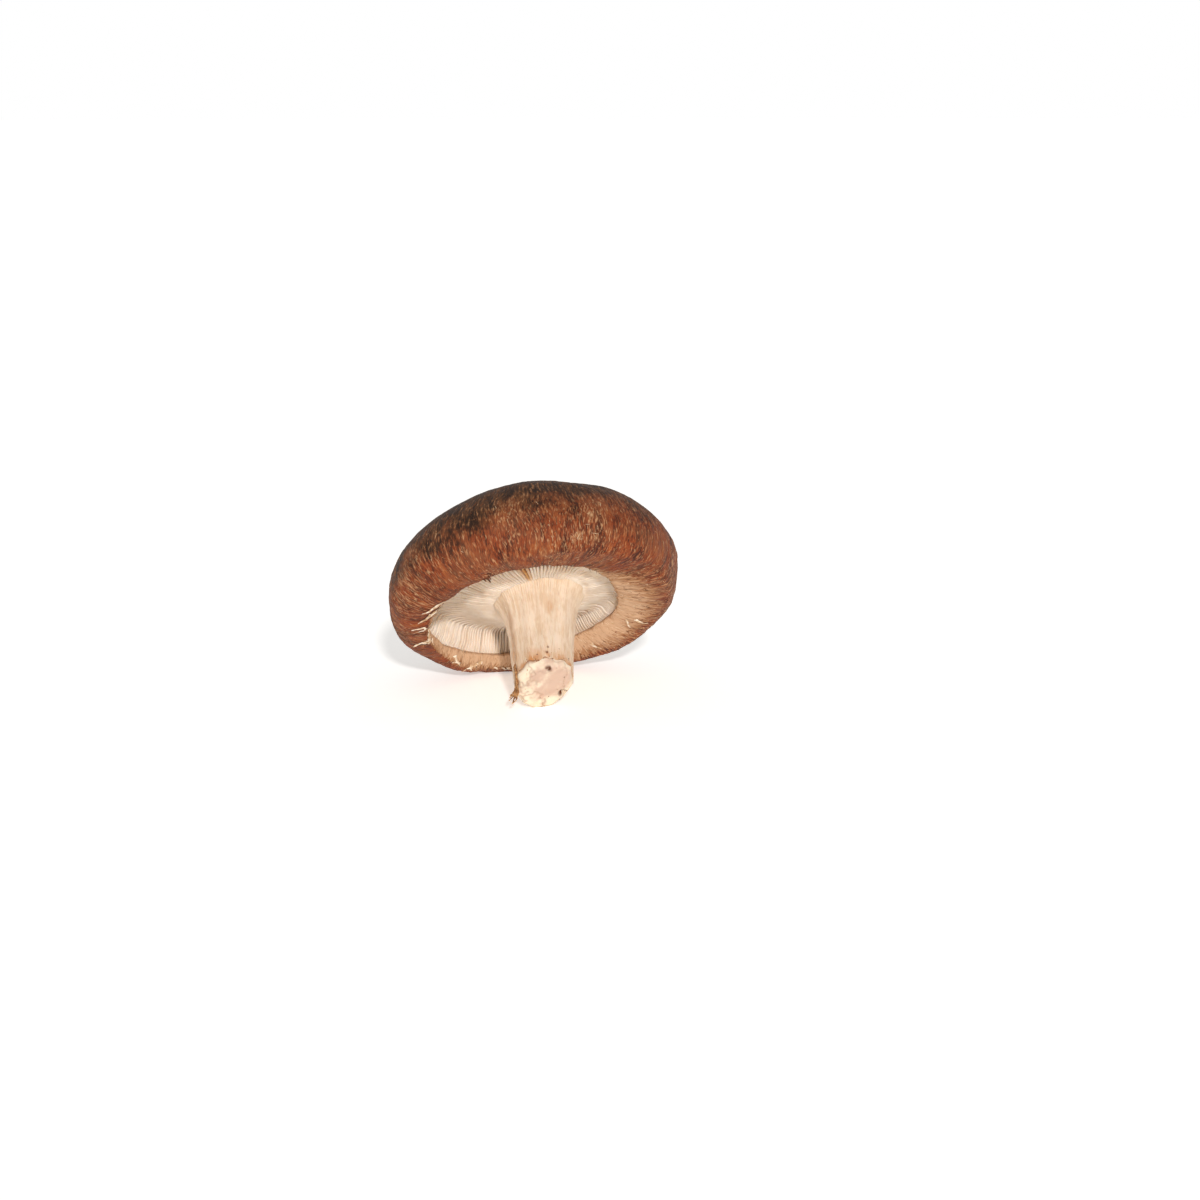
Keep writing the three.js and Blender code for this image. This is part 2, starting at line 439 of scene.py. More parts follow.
def add_node(
    tree: bpy.types.NodeTree, kind: str, inputs: dict | None = None, **settings: Any
) -> bpy.types.Node:
    """Adds a node.

    Args:
        tree: The tree that gets it.
        kind: Blender's name for the kind of node.
        inputs: For each input's number, identifier or name, its value or the output that feeds it.
        settings: The node's own properties.

    Returns:
        The new node.
    """
    node = tree.nodes.new(kind)
    for name, value in settings.items():
        setattr(node, name, value)
    for key, value in (inputs or {}).items():
        socket = find_socket(node.inputs, key)
        if isinstance(value, Socket):
            tree.links.new(value, socket)
        else:
            socket.default_value = value
    return node


class Step(Enum):
    """The steps that the trees share: the kind of node, its inputs in order, its output and its settings."""

    ADD = ("ShaderNodeMath", (0, 1), 0, {"operation": "ADD"})
    SUBTRACT = ("ShaderNodeMath", (0, 1), 0, {"operation": "SUBTRACT"})
    MULTIPLY = ("ShaderNodeMath", (0, 1), 0, {"operation": "MULTIPLY"})
    DIVIDE = ("ShaderNodeMath", (0, 1), 0, {"operation": "DIVIDE"})
    MULTIPLY_ADD = ("ShaderNodeMath", (0, 1, 2), 0, {"operation": "MULTIPLY_ADD"})
    ADD_VECTORS = ("ShaderNodeVectorMath", (0, 1), "Vector", {"operation": "ADD"})
    SUBTRACT_VECTORS = ("ShaderNodeVectorMath", (0, 1), "Vector", {"operation": "SUBTRACT"})
    SCALE_VECTOR = ("ShaderNodeVectorMath", (0, "Scale"), "Vector", {"operation": "SCALE"})
    DOT_PRODUCT = ("ShaderNodeVectorMath", (0, 1), "Value", {"operation": "DOT_PRODUCT"})
    RAMP = ("ShaderNodeMapRange", ("Value", "From Min", "From Max"), 0, {"interpolation_type": "SMOOTHSTEP"})
    MIX = ("ShaderNodeMix", ("Factor_Float", "A_Color", "B_Color"), "Result_Color", {"data_type": "RGBA"})
    BUMP = ("ShaderNodeBump", ("Height", "Distance", "Strength", "Normal"), 0, {})
    READ = ("GeometryNodeInputNamedAttribute", ("Name",), 0, {"data_type": "FLOAT"})
    READ_VECTOR = ("GeometryNodeInputNamedAttribute", ("Name",), 0, {"data_type": "FLOAT_VECTOR"})
    STORE_VECTOR = (
        "GeometryNodeStoreNamedAttribute", ("Geometry", "Name", "Value"), 0,
        {"data_type": "FLOAT_VECTOR", "domain": "POINT"},
    )
    STORE_ON_INSTANCES = (
        "GeometryNodeStoreNamedAttribute", ("Geometry", "Name", "Value"), 0,
        {"data_type": "FLOAT", "domain": "INSTANCE"},
    )
    CHANCE = ("FunctionNodeRandomValue", ("Min_001", "Max_001", "Seed"), "Value_001", {"data_type": "FLOAT"})


class Tree:
    """A node tree in the making, of a material or of Geometry Nodes."""

    def __init__(self, tree: bpy.types.NodeTree) -> None:
        """Keeps the tree."""
        self.tree = tree

    def node(self, kind: str, inputs: dict | None = None, **settings: Any) -> bpy.types.Node:
        """Adds a node of any kind."""
        return add_node(self.tree, kind, inputs, **settings)

    def add(self, step: Step, *values: Any) -> Socket:
        """Adds the node of a step.

        Args:
            step: The step.
            values: What its inputs take, in order: numbers, outputs, names, or colours as sRGB hex texts.

        Returns:
            The step's output.
        """
        kind, keys, output, settings = step.value
        ready = [linear(value) if str(value).startswith("#") else value for value in values]
        return find_socket(self.node(kind, dict(zip(keys, ready)), **settings).outputs, output)


class Shader(Tree):
    """A material's tree, with what the finishes share. Its patterns are in waves to a millimetre."""

    def __init__(self, name: str) -> None:
        """Starts an empty material."""
        self.material = bpy.data.materials.new(name)
        self.material.use_nodes = True
        super().__init__(self.material.node_tree)
        self.tree.nodes.clear()
        self.place = self.node("ShaderNodeTexCoord").outputs["Object"]
        self.along = self.node("ShaderNodeAttribute", attribute_name="along").outputs["Vector"]

    def marks(self, *names: str) -> tuple[Socket, ...]:
        """Named values of the mesh."""
        return tuple(self.node("ShaderNodeAttribute", attribute_name=name).outputs["Fac"] for name in names)

    def grain(self, vector: Socket, scale: tuple[float, float, float], detail: float = 3.0) -> Socket:
        """Noise from 0 to 1, with scale waves to a unit of vector along each axis."""
        stretched = self.node("ShaderNodeMapping", {"Vector": vector, "Scale": scale})
        inputs = {"Vector": stretched.outputs[0], "Scale": 1.0, "Detail": detail, "Roughness": 0.6}
        return self.node("ShaderNodeTexNoise", inputs).outputs["Fac"]

    def mottle(self, waves: float, detail: float = 3.0) -> Socket:
        """Noise from 0 to 1 through the whole piece, alike in all directions."""
        scale = waves / MM
        return self.grain(self.place, (scale, scale, scale), detail)

    def broken(self, name: str, value: Socket, start: float, end: float) -> Socket:
        """A named value of the mesh where value is near end, and none of it where value is near start."""
        (mark,) = self.marks(name)
        return self.add(Step.MULTIPLY, mark, self.add(Step.RAMP, value, start, end))

    def blend(self, *parts: tuple[Socket, float]) -> Socket:
        """Adds values up, each times its weight."""
        total = 0.0
        for value, weight in parts:
            total = self.add(Step.MULTIPLY_ADD, value, weight, total)
        return total

    def fade(self, share: Socket, first: Socket, second: Socket) -> Socket:
        """Goes from the first value to the second as share goes from 0 to 1."""
        return self.add(Step.MULTIPLY_ADD, self.add(Step.SUBTRACT, second, first), share, first)

    def finish(self, **inputs: Any) -> bpy.types.Material:
        """Ends the tree in a Principled shader.

        Args:
            inputs: The shader's inputs, with underscores for the spaces in their names.

        Returns:
            The finished material.
        """
        named = {name.replace("_", " "): value for name, value in inputs.items()}
        shader = self.node("ShaderNodeBsdfPrincipled", named)
        self.node("ShaderNodeOutputMaterial", {"Surface": shader.outputs[0]})
        return self.material


@dataclass(frozen=True)
class Cuticle:
    """Brown cap skin: dry, satin, and felted with fine fibres that run from the top.

    It is darker and greyer towards the top, and turns to pale flesh inside the margin. Real fibres are a few
    hundredths of a millimetre wide, too fine to show, so the finest streaks are drawn a quarter of a
    millimetre wide and a millimetre long.
    """

    dark: str = "#461B07"
    red: str = "#853A15"
    tan: str = "#A85E2B"
    pale: str = "#CB9B6E"
    dusty: str = "#875333"
    top_dark: str = "#2B180B"
    top_grey: str = "#653F22"
    flesh: str = "#CDA582"
    flesh_tan: str = "#A5744C"
    under: str = "#D9C3A6"
    fibre_waves: tuple[float, float, float] = (3.8, 3.8, 1.0)
    fleck_waves: tuple[float, float, float] = (2.4, 2.4, 0.7)
    bundle_waves: tuple[float, float, float] = (1.8, 1.8, 0.42)
    streak_waves: tuple[float, float, float] = (0.42, 0.42, 0.1)
    mottle_waves: float = 0.62
    crackle_waves: float = 0.24
    patch_waves: float = 0.13

    def build(self) -> bpy.types.Material:
        """Makes the material."""
        shader = Shader("felted_brown_cuticle")
        lean, tufts, flesh_mark, roof = shader.marks("lean", "tufts", "flesh", "roof")
        fine, felted = (shader.grain(shader.along, waves) for waves in (self.fibre_waves, self.bundle_waves))
        broad = shader.grain(shader.along, self.streak_waves, 2.0)
        fleck = shader.grain(shader.along, self.fleck_waves, 1.0)
        mottle, crackle = shader.mottle(self.mottle_waves), shader.mottle(self.crackle_waves)
        patch = shader.mottle(self.patch_waves, 2.0)
        sided = shader.add(Step.RAMP, lean, 0.12, 0.62)
        fine, felted = shader.fade(sided, mottle, fine), shader.fade(sided, crackle, felted)
        broad = shader.fade(sided, patch, broad)
        streak = shader.blend((fine, 0.36), (felted, 0.32), (broad, 0.32))
        brown = shader.add(Step.MIX, shader.add(Step.RAMP, streak, 0.42, 0.525), self.dark, self.red)
        brown = shader.add(Step.MIX, shader.add(Step.RAMP, streak, 0.525, 0.64), brown, self.tan)
        dust = shader.add(Step.MULTIPLY, shader.add(Step.RAMP, patch, 0.42, 0.66), 0.4)
        brown = shader.add(Step.MIX, dust, brown, self.dusty)
        fuzz = shader.add(Step.MULTIPLY_ADD, tufts, 0.12, fleck)
        flecked = shader.add(Step.MULTIPLY, shader.add(Step.RAMP, fuzz, 0.61, 0.78), 0.6)
        brown = shader.add(Step.MIX, flecked, brown, self.pale)
        grey = shader.add(Step.MIX, shader.add(Step.RAMP, streak, 0.42, 0.6), self.top_dark, self.top_grey)
        # Grey towards the top; on the left side, away from the lamp, it reaches further down as painted
        # shade, through the lean mark.
        height = shader.add(Step.ADD, lean, shader.add(Step.MULTIPLY_ADD, patch, 0.9, -0.45))
        skin = shader.add(Step.MIX, shader.add(Step.RAMP, height, 0.6, 1.02), grey, brown)
        skin = shader.add(Step.MIX, shader.broken("dark", felted, 0.62, 0.4), skin, self.top_dark)
        skin = shader.add(Step.MIX, shader.broken("felt", fine, 0.42, 0.6), skin, self.pale)
        inward = shader.add(Step.ADD, flesh_mark, shader.add(Step.MULTIPLY_ADD, felted, 1.4, -0.7))
        tinged = shader.add(Step.MULTIPLY_ADD, streak, 2.5, inward)
        flesh = shader.add(Step.MIX, shader.add(Step.RAMP, tinged, 1.55, 2.25), self.flesh_tan, self.flesh)
        colour = shader.add(Step.MIX, shader.add(Step.RAMP, inward, 0.05, 0.4), skin, flesh)
        colour = shader.add(Step.MIX, roof, colour, self.under)
        relief = shader.add(Step.BUMP, felted, 0.3 * MM, 0.8)
        return shader.finish(
            Base_Color=colour,
            Roughness=shader.add(Step.MULTIPLY_ADD, fine, 0.4, 0.46),
            Normal=shader.add(Step.BUMP, fine, 0.16 * MM, 0.8, relief),
            Specular_IOR_Level=0.24,
            Sheen_Weight=0.03,
            Sheen_Roughness=0.4,
        )


@dataclass(frozen=True)
class Fibril:
    """Flattened loose fibres, each a little paler or darker than what they lie on."""

    name: str = "loose_cap_fibres"
    dark: str = "#42200F"
    mid: str = "#88492A"
    pale: str = "#BC8A5E"
    pale_share: float = 0.12

    def build(self) -> bpy.types.Material:
        """Makes the material, whose colour is set fibre by fibre."""
        shader = Shader(self.name)
        (tone,) = shader.marks("tone")
        colour = shader.add(Step.MIX, shader.add(Step.RAMP, tone, 0.05, 0.6), self.dark, self.mid)
        palest = shader.add(Step.RAMP, tone, 1 - 1.6 * self.pale_share, 1.0)
        colour = shader.add(Step.MIX, palest, colour, self.pale)
        return shader.finish(Base_Color=colour, Roughness=0.65, Specular_IOR_Level=0.3)


@dataclass(frozen=True)
class GillFlesh:
    """Thin plates of cream flesh, matt and slightly translucent, with amber lines where they were bruised.

    Their faint mottling comes and goes over about four millimetres.
    """

    cream: str = "#F1DFCD"
    shade: str = "#E4CEB8"
    amber: str = "#C58A42"
    mottle_waves: float = 0.26

    def build(self) -> bpy.types.Material:
        """Makes the material."""
        shader = Shader("cream_gill_flesh")
        tint, amber = shader.marks("tint", "amber")
        mottle = shader.mottle(self.mottle_waves)
        colour = shader.add(Step.MIX, shader.add(Step.RAMP, mottle, 0.35, 0.65), self.shade, self.cream)
        colour = shader.add(Step.MIX, shader.add(Step.MULTIPLY, tint, 0.35), colour, self.shade)
        colour = shader.add(Step.MIX, amber, colour, self.amber)
        return shader.finish(
            Base_Color=colour,
            Roughness=0.75,
            Specular_IOR_Level=0.3,
            Normal=shader.add(Step.BUMP, mottle, 0.05 * MM, 0.5),
            Subsurface_Weight=0.4,
            Subsurface_Radius=(1.0, 0.75, 0.5),
            Subsurface_Scale=1.0 * MM,
        )


@dataclass(frozen=True)
class StemFlesh:
    """Tough fibrous stem: cream with faint tan fibres along it, torn brown at the foot, with brown stains
    that are partly painted shade down its left side.

    Its strands are drawn four tenths of a millimetre wide and its fibres two tenths, a few times coarser than
    real fibres, which are too fine to show.
    """

    cream: str = "#E8D1B8"
    tan: str = "#D9BA9A"
    stain_and_shade: str = "#C08048"
    speck: str = "#6E3410"
    strand_waves: tuple[float, float, float] = (2.4, 2.4, 0.16)
    fibre_waves: tuple[float, float, float] = (5.0, 5.0, 0.8)
    cloud_waves: float = 0.19

    def build(self) -> bpy.types.Material:
        """Makes the material."""
        shader = Shader("fibrous_stem_flesh")
        (speck,) = shader.marks("speck")
        fibre, fine = (shader.grain(shader.along, waves) for waves in (self.strand_waves, self.fibre_waves))
        cloud = shader.mottle(self.cloud_waves)
        strands = shader.blend((fibre, 0.4), (fine, 0.22), (cloud, 0.38))
        colour = shader.add(Step.MIX, shader.add(Step.RAMP, strands, 0.41, 0.57), self.tan, self.cream)
        # Brown stains; those down the stem's left side, away from the lamp, are partly painted shade.
        colour = shader.add(Step.MIX, shader.broken("stain_and_shade", fibre, 0.3, 0.62), colour, self.stain_and_shade)
        colour = shader.add(Step.MIX, shader.broken("crust", cloud, 0.32, 0.52), colour, self.stain_and_shade)
        colour = shader.add(Step.MIX, speck, colour, self.speck)
        relief = shader.add(Step.BUMP, fibre, 0.16 * MM, 0.7)
        return shader.finish(
            Base_Color=colour,
            Roughness=0.72,
            Specular_IOR_Level=0.35,
            Normal=shader.add(Step.BUMP, cloud, 0.2 * MM, 0.5, relief),
            Subsurface_Weight=0.3,
            Subsurface_Radius=(1.0, 0.65, 0.4),
            Subsurface_Scale=1.4 * MM,
        )


@dataclass(frozen=True)
class CutFlesh:
    """Cut and torn end of the stem: whitish and lumpy, with pink and grey veins, the grey lying in its cracks
    and partly painted shade, and a brown rim.

    Its clouds are about five millimetres wide, and its crumb a little over one.
    """

    white: str = "#EBDAC0"
    pink: str = "#D0B09A"
    grey: str = "#B08C74"
    crust: str = "#9A5F34"
    hole: str = "#5A2A0C"
    cloud_waves: float = 0.21
    crumb_waves: float = 0.8

    def build(self) -> bpy.types.Material:
        """Makes the material."""
        shader = Shader("cut_stem_flesh")
        rosy, crack, speck = shader.marks("rosy", "crack", "speck")
        cloud, fine = shader.mottle(self.cloud_waves), shader.mottle(self.crumb_waves)
        blush = shader.blend((cloud, 0.75), (fine, 0.25), (rosy, 0.24))
        colour = shader.add(Step.MIX, shader.add(Step.RAMP, blush, 0.5, 0.76), self.white, self.pink)
        # Grey in the sunken cracks: partly the flesh's own veins, partly painted shade.
        colour = shader.add(Step.MIX, shader.add(Step.MULTIPLY, crack, 0.55), colour, self.grey)
        colour = shader.add(Step.MIX, shader.broken("crust", fine, 0.34, 0.5), colour, self.crust)
        # Dark brown of the specks; in the pit at 25.5 degrees it is partly painted shade.
        colour = shader.add(Step.MIX, speck, colour, self.hole)
        return shader.finish(
            Base_Color=colour,
            Roughness=0.75,
            Specular_IOR_Level=0.4,
            Normal=shader.add(Step.BUMP, fine, 0.15 * MM, 0.8, shader.add(Step.BUMP, cloud, 0.6 * MM, 0.9)),
            Subsurface_Weight=0.25,
            Subsurface_Radius=(1.0, 0.7, 0.5),
            Subsurface_Scale=1.2 * MM,
        )


@dataclass(frozen=True)
class Scrap:
    """Papery torn scraps and crumbs: matt, and mottled between two colours over about a millimetre."""

    name: str
    light: str
    dark: str
    mottle_waves: float = 0.9

    def build(self) -> bpy.types.Material:
        """Makes the material."""
        shader = Shader(self.name)
        mottle = shader.mottle(self.mottle_waves)
        colour = shader.add(Step.MIX, shader.add(Step.RAMP, mottle, 0.4, 0.62), self.dark, self.light)
        relief = shader.add(Step.BUMP, mottle, 0.08 * MM)
        return shader.finish(Base_Color=colour, Roughness=0.8, Specular_IOR_Level=0.35, Normal=relief)


@dataclass(frozen=True)
class PaleFloor:
    """Matt white sweep under the mushroom."""

    white: str = "#F7F5F2"
    glow: float = 0.46

    def build(self) -> bpy.types.Material:
        """Makes the material."""
        white = linear(self.white)
        return Shader("matt_white_sweep").finish(
            Base_Color=white, Roughness=0.9, Emission_Color=white, Emission_Strength=self.glow
        )


class Lines:
    """Lines of upright points with the marks that a plate grower reads."""

    def __init__(self) -> None:
        """Starts with no lines."""
        self.places: list[Array] = []
        self.marks: list[dict[str, Array]] = []
        self.edges: list[tuple[int, int]] = []

    def add(self, places: Array, facing: Array, hang: Array, **marks: Any) -> None:
        """Keeps one line.

        Args:
            places: Its points.
            facing: The thin direction of the blade at each point.
            hang: The deep direction of the blade at each point.
            marks: Numbers, for the whole line or for each point: deep, thick, line, tint and amber.
        """
        first = sum(map(len, self.places))
        self.edges += [(first + i, first + i + 1) for i in range(len(places) - 1)]
        self.places.append(places)
        numbers = {"deep": 0.5, "thick": 0.2, "line": float(first), "tint": 0.0, "amber": 0.0, **marks}
        count = len(places)
        spread = {name: np.broadcast_to(np.asarray(value, float), count) for name, value in numbers.items()}
        self.marks.append({"facing": unit(facing), "hang": unit(hang), **spread})

    def base(self, name: str) -> bpy.types.Object:
        """Makes one mesh of all the lines."""
        return make_mesh(name, np.concatenate(self.places), {"edges": self.edges}, joined(self.marks))


class Grower(Tree):
    """A Geometry Nodes tree that makes what repeats, and is turned into a plain mesh when it has run."""

    def __init__(self, name: str, sizes: dict[str, float | int]) -> None:
        """Starts a tree that takes a mesh, named sizes and a material."""
        super().__init__(bpy.data.node_groups.new(name, "GeometryNodeTree"))
        kinds = {"Geometry": "NodeSocketGeometry", "Material": "NodeSocketMaterial"}
        for size, value in sizes.items():
            kinds[size] = "NodeSocketInt" if isinstance(value, int) else "NodeSocketFloat"
        sockets = self.tree.interface
        made = {n: sockets.new_socket(n, in_out="INPUT", socket_type=kind) for n, kind in kinds.items()}
        sockets.new_socket("Geometry", in_out="OUTPUT", socket_type="NodeSocketGeometry")
        self.identifiers = {n: socket.identifier for n, socket in made.items()}
        self.sizes = sizes
        self.given = self.node("NodeGroupInput").outputs

    def end(self, geometry: Socket) -> None:
        """Realises what was made, gives it its material and ends the tree."""
        real = self.node("GeometryNodeRealizeInstances", {"Geometry": geometry})
        smooth = self.node("GeometryNodeSetShadeSmooth", {"Geometry": real.outputs[0]})
        inputs = {"Geometry": smooth.outputs[0], "Material": self.given["Material"]}
        dressed = self.node("GeometryNodeSetMaterial", inputs)
        self.node("NodeGroupOutput", {"Geometry": dressed.outputs[0]})

    def grow(
        self, base: bpy.types.Object, name: str, material: bpy.types.Material, sizes: dict[str, float | int]
    ) -> bpy.types.Object:
        """Runs the tree on a mesh.

        Args:
            base: The object that the tree starts from.
            name: Name of the new piece.
            material: Its material.
            sizes: Sizes that differ from the tree's own.

        Returns:
            The new piece, a plain mesh.
        """
        modifier = base.modifiers.new(name, "NODES")
        modifier.node_group = self.tree
        modifier[self.identifiers["Material"]] = material
        for size, value in {**self.sizes, **sizes}.items():
            modifier[self.identifiers[size]] = value
        base.update_tag()
        graph = bpy.context.evaluated_depsgraph_get()
        mesh = bpy.data.meshes.new_from_object(base.evaluated_get(graph), depsgraph=graph)
        mesh.name = name
        base.modifiers.remove(modifier)
        piece = bpy.data.objects.new(name, mesh)
        bpy.context.scene.collection.objects.link(piece)
        return piece


class PlateGrower(Grower):
    """Sweeps a thin blade along every line of a mesh: gills, shreds, fibres and strands.

    Each point of a line has its facing direction, the hanging direction of the blade's depth, its depth and
    its thickness.
    """

    def __init__(self) -> None:
        """Builds the tree."""
        super().__init__(
            "swept blades",
            {
                "Sides": 10, "Hang": 1.0, "Wave": 0.3, "Wave Length": 3.0,
                "Ragged": 0.1, "Ragged Length": 0.5, "Seed": 1,
            },
        )
        facing, hang = self.add(Step.READ_VECTOR, "facing"), self.add(Step.READ_VECTOR, "hang")
        curve = self.node("GeometryNodeMeshToCurve", {"Mesh": self.given["Geometry"]}).outputs[0]
        inputs = {"Curve": curve, "Normal": facing}
        curve = self.node("GeometryNodeSetCurveNormal", inputs, mode="FREE").outputs[0]
        place = self.node("GeometryNodeInputPosition").outputs[0]
        root = self.add(Step.STORE_VECTOR, curve, "root", place)
        inputs = {"Resolution": self.given["Sides"], "Radius": 1.0}
        circle = self.node("GeometryNodeCurvePrimitiveCircle", inputs).outputs[0]
        inputs = {"Curve": root, "Profile Curve": circle, "Fill Caps": True}
        swept = self.node("GeometryNodeCurveToMesh", inputs).outputs[0]
        root_place = self.add(Step.READ_VECTOR, "root")
        out = self.add(Step.SUBTRACT_VECTORS, place, root_place)
        aside, down = self.add(Step.DOT_PRODUCT, out, facing), self.add(Step.DOT_PRODUCT, out, hang)
        depth, thickness = self.add(Step.READ, "deep"), self.add(Step.READ, "thick")
        share = self.add(Step.MULTIPLY_ADD, down, 0.5, 0.5)
        wave = self.noise(root_place, self.given["Wave Length"], self.given["Seed"])
        swing = self.add(Step.MULTIPLY, self.add(Step.MULTIPLY, wave, share), self.given["Wave"])
        half = self.add(Step.MULTIPLY, self.add(Step.MULTIPLY, aside, thickness), 0.5)
        hung = self.add(Step.ADD, down, self.given["Hang"])
        reach = self.add(Step.MULTIPLY, hung, self.add(Step.MULTIPLY, depth, 0.5))
        other_seed = self.add(Step.ADD, self.given["Seed"], 50)
        rough = self.noise(root_place, self.given["Ragged Length"], other_seed)
        tear = self.add(Step.MULTIPLY, self.add(Step.MULTIPLY, rough, share), self.given["Ragged"])
        sideways = self.add(Step.SCALE_VECTOR, facing, self.add(Step.ADD, half, swing))
        downwards = self.add(Step.SCALE_VECTOR, hang, self.add(Step.ADD, reach, tear))
        moved = self.add(Step.ADD_VECTORS, root_place, self.add(Step.ADD_VECTORS, sideways, downwards))
        self.end(self.node("GeometryNodeSetPosition", {"Geometry": swept, "Position": moved}).outputs[0])

    def sweep(
        self, lines: Lines, form: Form, name: str, material: bpy.types.Material, sizes: dict[str, float | int]
    ) -> bpy.types.Object:
        """Sweeps upright lines and lays the blades down.

        Args:
            lines: The lines.
            form: Lays the points.
            name: Name of the new piece.
            material: Its finish.
            sizes: Sizes that differ from the tree's own.

        Returns:
            The new piece.
        """
        base = lines.base(f"{name}_lines")
        piece = self.grow(base, name, material, sizes)
        bpy.data.objects.remove(base)
        piece.data.vertices.foreach_set("co", form.lay(place_of(piece)).ravel())
        face_out(piece)
        return piece

    def noise(self, place: Socket, length: Socket, seed: Any) -> Socket:
        """Noise from -0.5 to 0.5 that differs from line to line."""
        scale = self.add(Step.DIVIDE, 1.0, length)
        own = self.add(Step.ADD, self.add(Step.READ, "line"), seed)
        inputs = {"Vector": place, "W": own, "Scale": scale, "Detail": 1.0}
        made = self.node("ShaderNodeTexNoise", inputs, noise_dimensions="4D")
        return self.add(Step.SUBTRACT, made.outputs["Fac"], 0.5)


class Bladed(ABC):
    """A piece of thin blades, which are swept along lines that it draws."""

    name: ClassVar[str]
    sizes: ClassVar[dict[str, float | int]]
    form: Form

    @abstractmethod
    def draw(self, lines: Lines) -> None:
        """Adds the lines."""

    def build(self, grower: PlateGrower, material: bpy.types.Material) -> bpy.types.Object:
        """Makes the piece.

        Args:
            grower: Sweeps the blades.
            material: Their finish.

        Returns:
            The piece.
        """
        lines = Lines()
        self.draw(lines)
        return grower.sweep(lines, self.form, self.name, material, self.sizes)


class FibreGrower(Grower):
    """Scatters short tapered fibres over a surface, laid along its flow."""

    def __init__(self, cover: str) -> None:
        """Builds the tree, whose sizes are in metres. The named mark says how thickly the fibres lie."""
        super().__init__(
            f"scattered fibres by {cover}",
            {
                "Density": 1e6, "Shortest": 0.001, "Longest": 0.003, "Width": 0.0002,
                "Lift": 0.1, "Stray": 0.3, "Seed": 1,
            },
        )
        seed = self.given["Seed"]
        density = self.add(Step.MULTIPLY, self.given["Density"], self.add(Step.READ, cover))
        points = self.node(
            "GeometryNodeDistributePointsOnFaces",
            {"Mesh": self.given["Geometry"], "Density": density, "Seed": seed},
            distribute_method="RANDOM",
        )
        bow = self.node("ShaderNodeCombineXYZ", {"X": 0.0, "Z": self.given["Lift"]}).outputs[0]
        line = self.node(
            "GeometryNodeCurveQuadraticBezier",
            {"Resolution": 4, "Start": (-0.5, 0.0, -0.04), "Middle": bow, "End": (0.5, 0.0, -0.02)},
        ).outputs[0]
        way = self.node("GeometryNodeSplineParameter").outputs["Factor"]
        bulge = self.add(Step.MULTIPLY, self.add(Step.MULTIPLY, way, self.add(Step.SUBTRACT, 1.0, way)), 4.0)
        circle = self.node("GeometryNodeCurvePrimitiveCircle", {"Resolution": 3, "Radius": 0.5}).outputs[0]
        girth = self.add(Step.ADD, bulge, 0.06)
        inputs = {"Curve": line, "Profile Curve": circle, "Scale": girth, "Fill Caps": True}
        fibre = self.node("GeometryNodeCurveToMesh", inputs).outputs[0]
        either_way = {"Min": (-1, -1, -1), "Max": (1, 1, 1), "Seed": seed}
        stray = self.node("FunctionNodeRandomValue", either_way, data_type="FLOAT_VECTOR").outputs[0]
        strayed = self.add(Step.SCALE_VECTOR, stray, self.given["Stray"])
        flow = self.add(Step.ADD_VECTORS, self.add(Step.READ_VECTOR, "flow"), strayed)
        inputs = {"Vector": points.outputs["Normal"]}
        upright = self.node("FunctionNodeAlignRotationToVector", inputs, axis="Z")
        turned = self.node(
            "FunctionNodeAlignRotationToVector",
            {"Rotation": upright.outputs[0], "Vector": flow},
            axis="X",
            pivot_axis="Z",
        ).outputs[0]
        length_seed, width_seed, tone_seed = (self.add(Step.ADD, seed, i) for i in (1, 2, 3))
        long = self.add(Step.CHANCE, self.given["Shortest"], self.given["Longest"], length_seed)
        width = self.add(Step.MULTIPLY, self.given["Width"], self.add(Step.CHANCE, 0.6, 1.5, width_seed))
        height = self.add(Step.MULTIPLY, width, 0.7)
        size = self.node("ShaderNodeCombineXYZ", {"X": long, "Y": width, "Z": height})
        placed = self.node(
            "GeometryNodeInstanceOnPoints",
            {"Points": points.outputs[0], "Instance": fibre, "Rotation": turned, "Scale": size.outputs[0]},
        ).outputs[0]
        tone = self.add(Step.CHANCE, 0.0, 1.0, tone_seed)
        self.end(self.add(Step.STORE_ON_INSTANCES, placed, "tone", tone))


class CrumbGrower(Grower):
    """Scatters small angular crumbs over a surface."""

    def __init__(self) -> None:
        """Builds the tree. Sizes are in metres."""
        sizes = {"Density": 1e6, "Smallest": 0.0001, "Largest": 0.0004, "Seed": 1}
        super().__init__("scattered crumbs", sizes)
        seed = self.given["Seed"]
        points = self.node(
            "GeometryNodeDistributePointsOnFaces",
            {
                "Mesh": self.given["Geometry"],
                "Density": self.add(Step.MULTIPLY, self.given["Density"], self.add(Step.READ, "crumb_cover")),
                "Seed": seed,
            },
            distribute_method="RANDOM",
        ).outputs[0]
        lump = self.node("GeometryNodeMeshIcoSphere", {"Radius": 0.5, "Subdivisions": 1}).outputs[0]
        turned = self.node(
            "FunctionNodeRandomValue", {"Max": (TURN, TURN, TURN), "Seed": seed}, data_type="FLOAT_VECTOR"
        ).outputs[0]
        width, length, height = (
            self.add(Step.CHANCE, self.given["Smallest"], self.given["Largest"], self.add(Step.ADD, seed, i))
            for i in (1, 2, 3)
        )
        size = self.node("ShaderNodeCombineXYZ", {"X": width, "Y": length, "Z": height}).outputs[0]
        inputs = {"Points": points, "Instance": lump, "Rotation": turned, "Scale": size}
        self.end(self.node("GeometryNodeInstanceOnPoints", inputs).outputs[0])


@dataclass(frozen=True)
class Spot:
    """A mark on a surface: its angle in degrees, its way along, its size in millimetres and its strength."""

    angle: float
    at: float
    size: float
    strength: float = 1.0


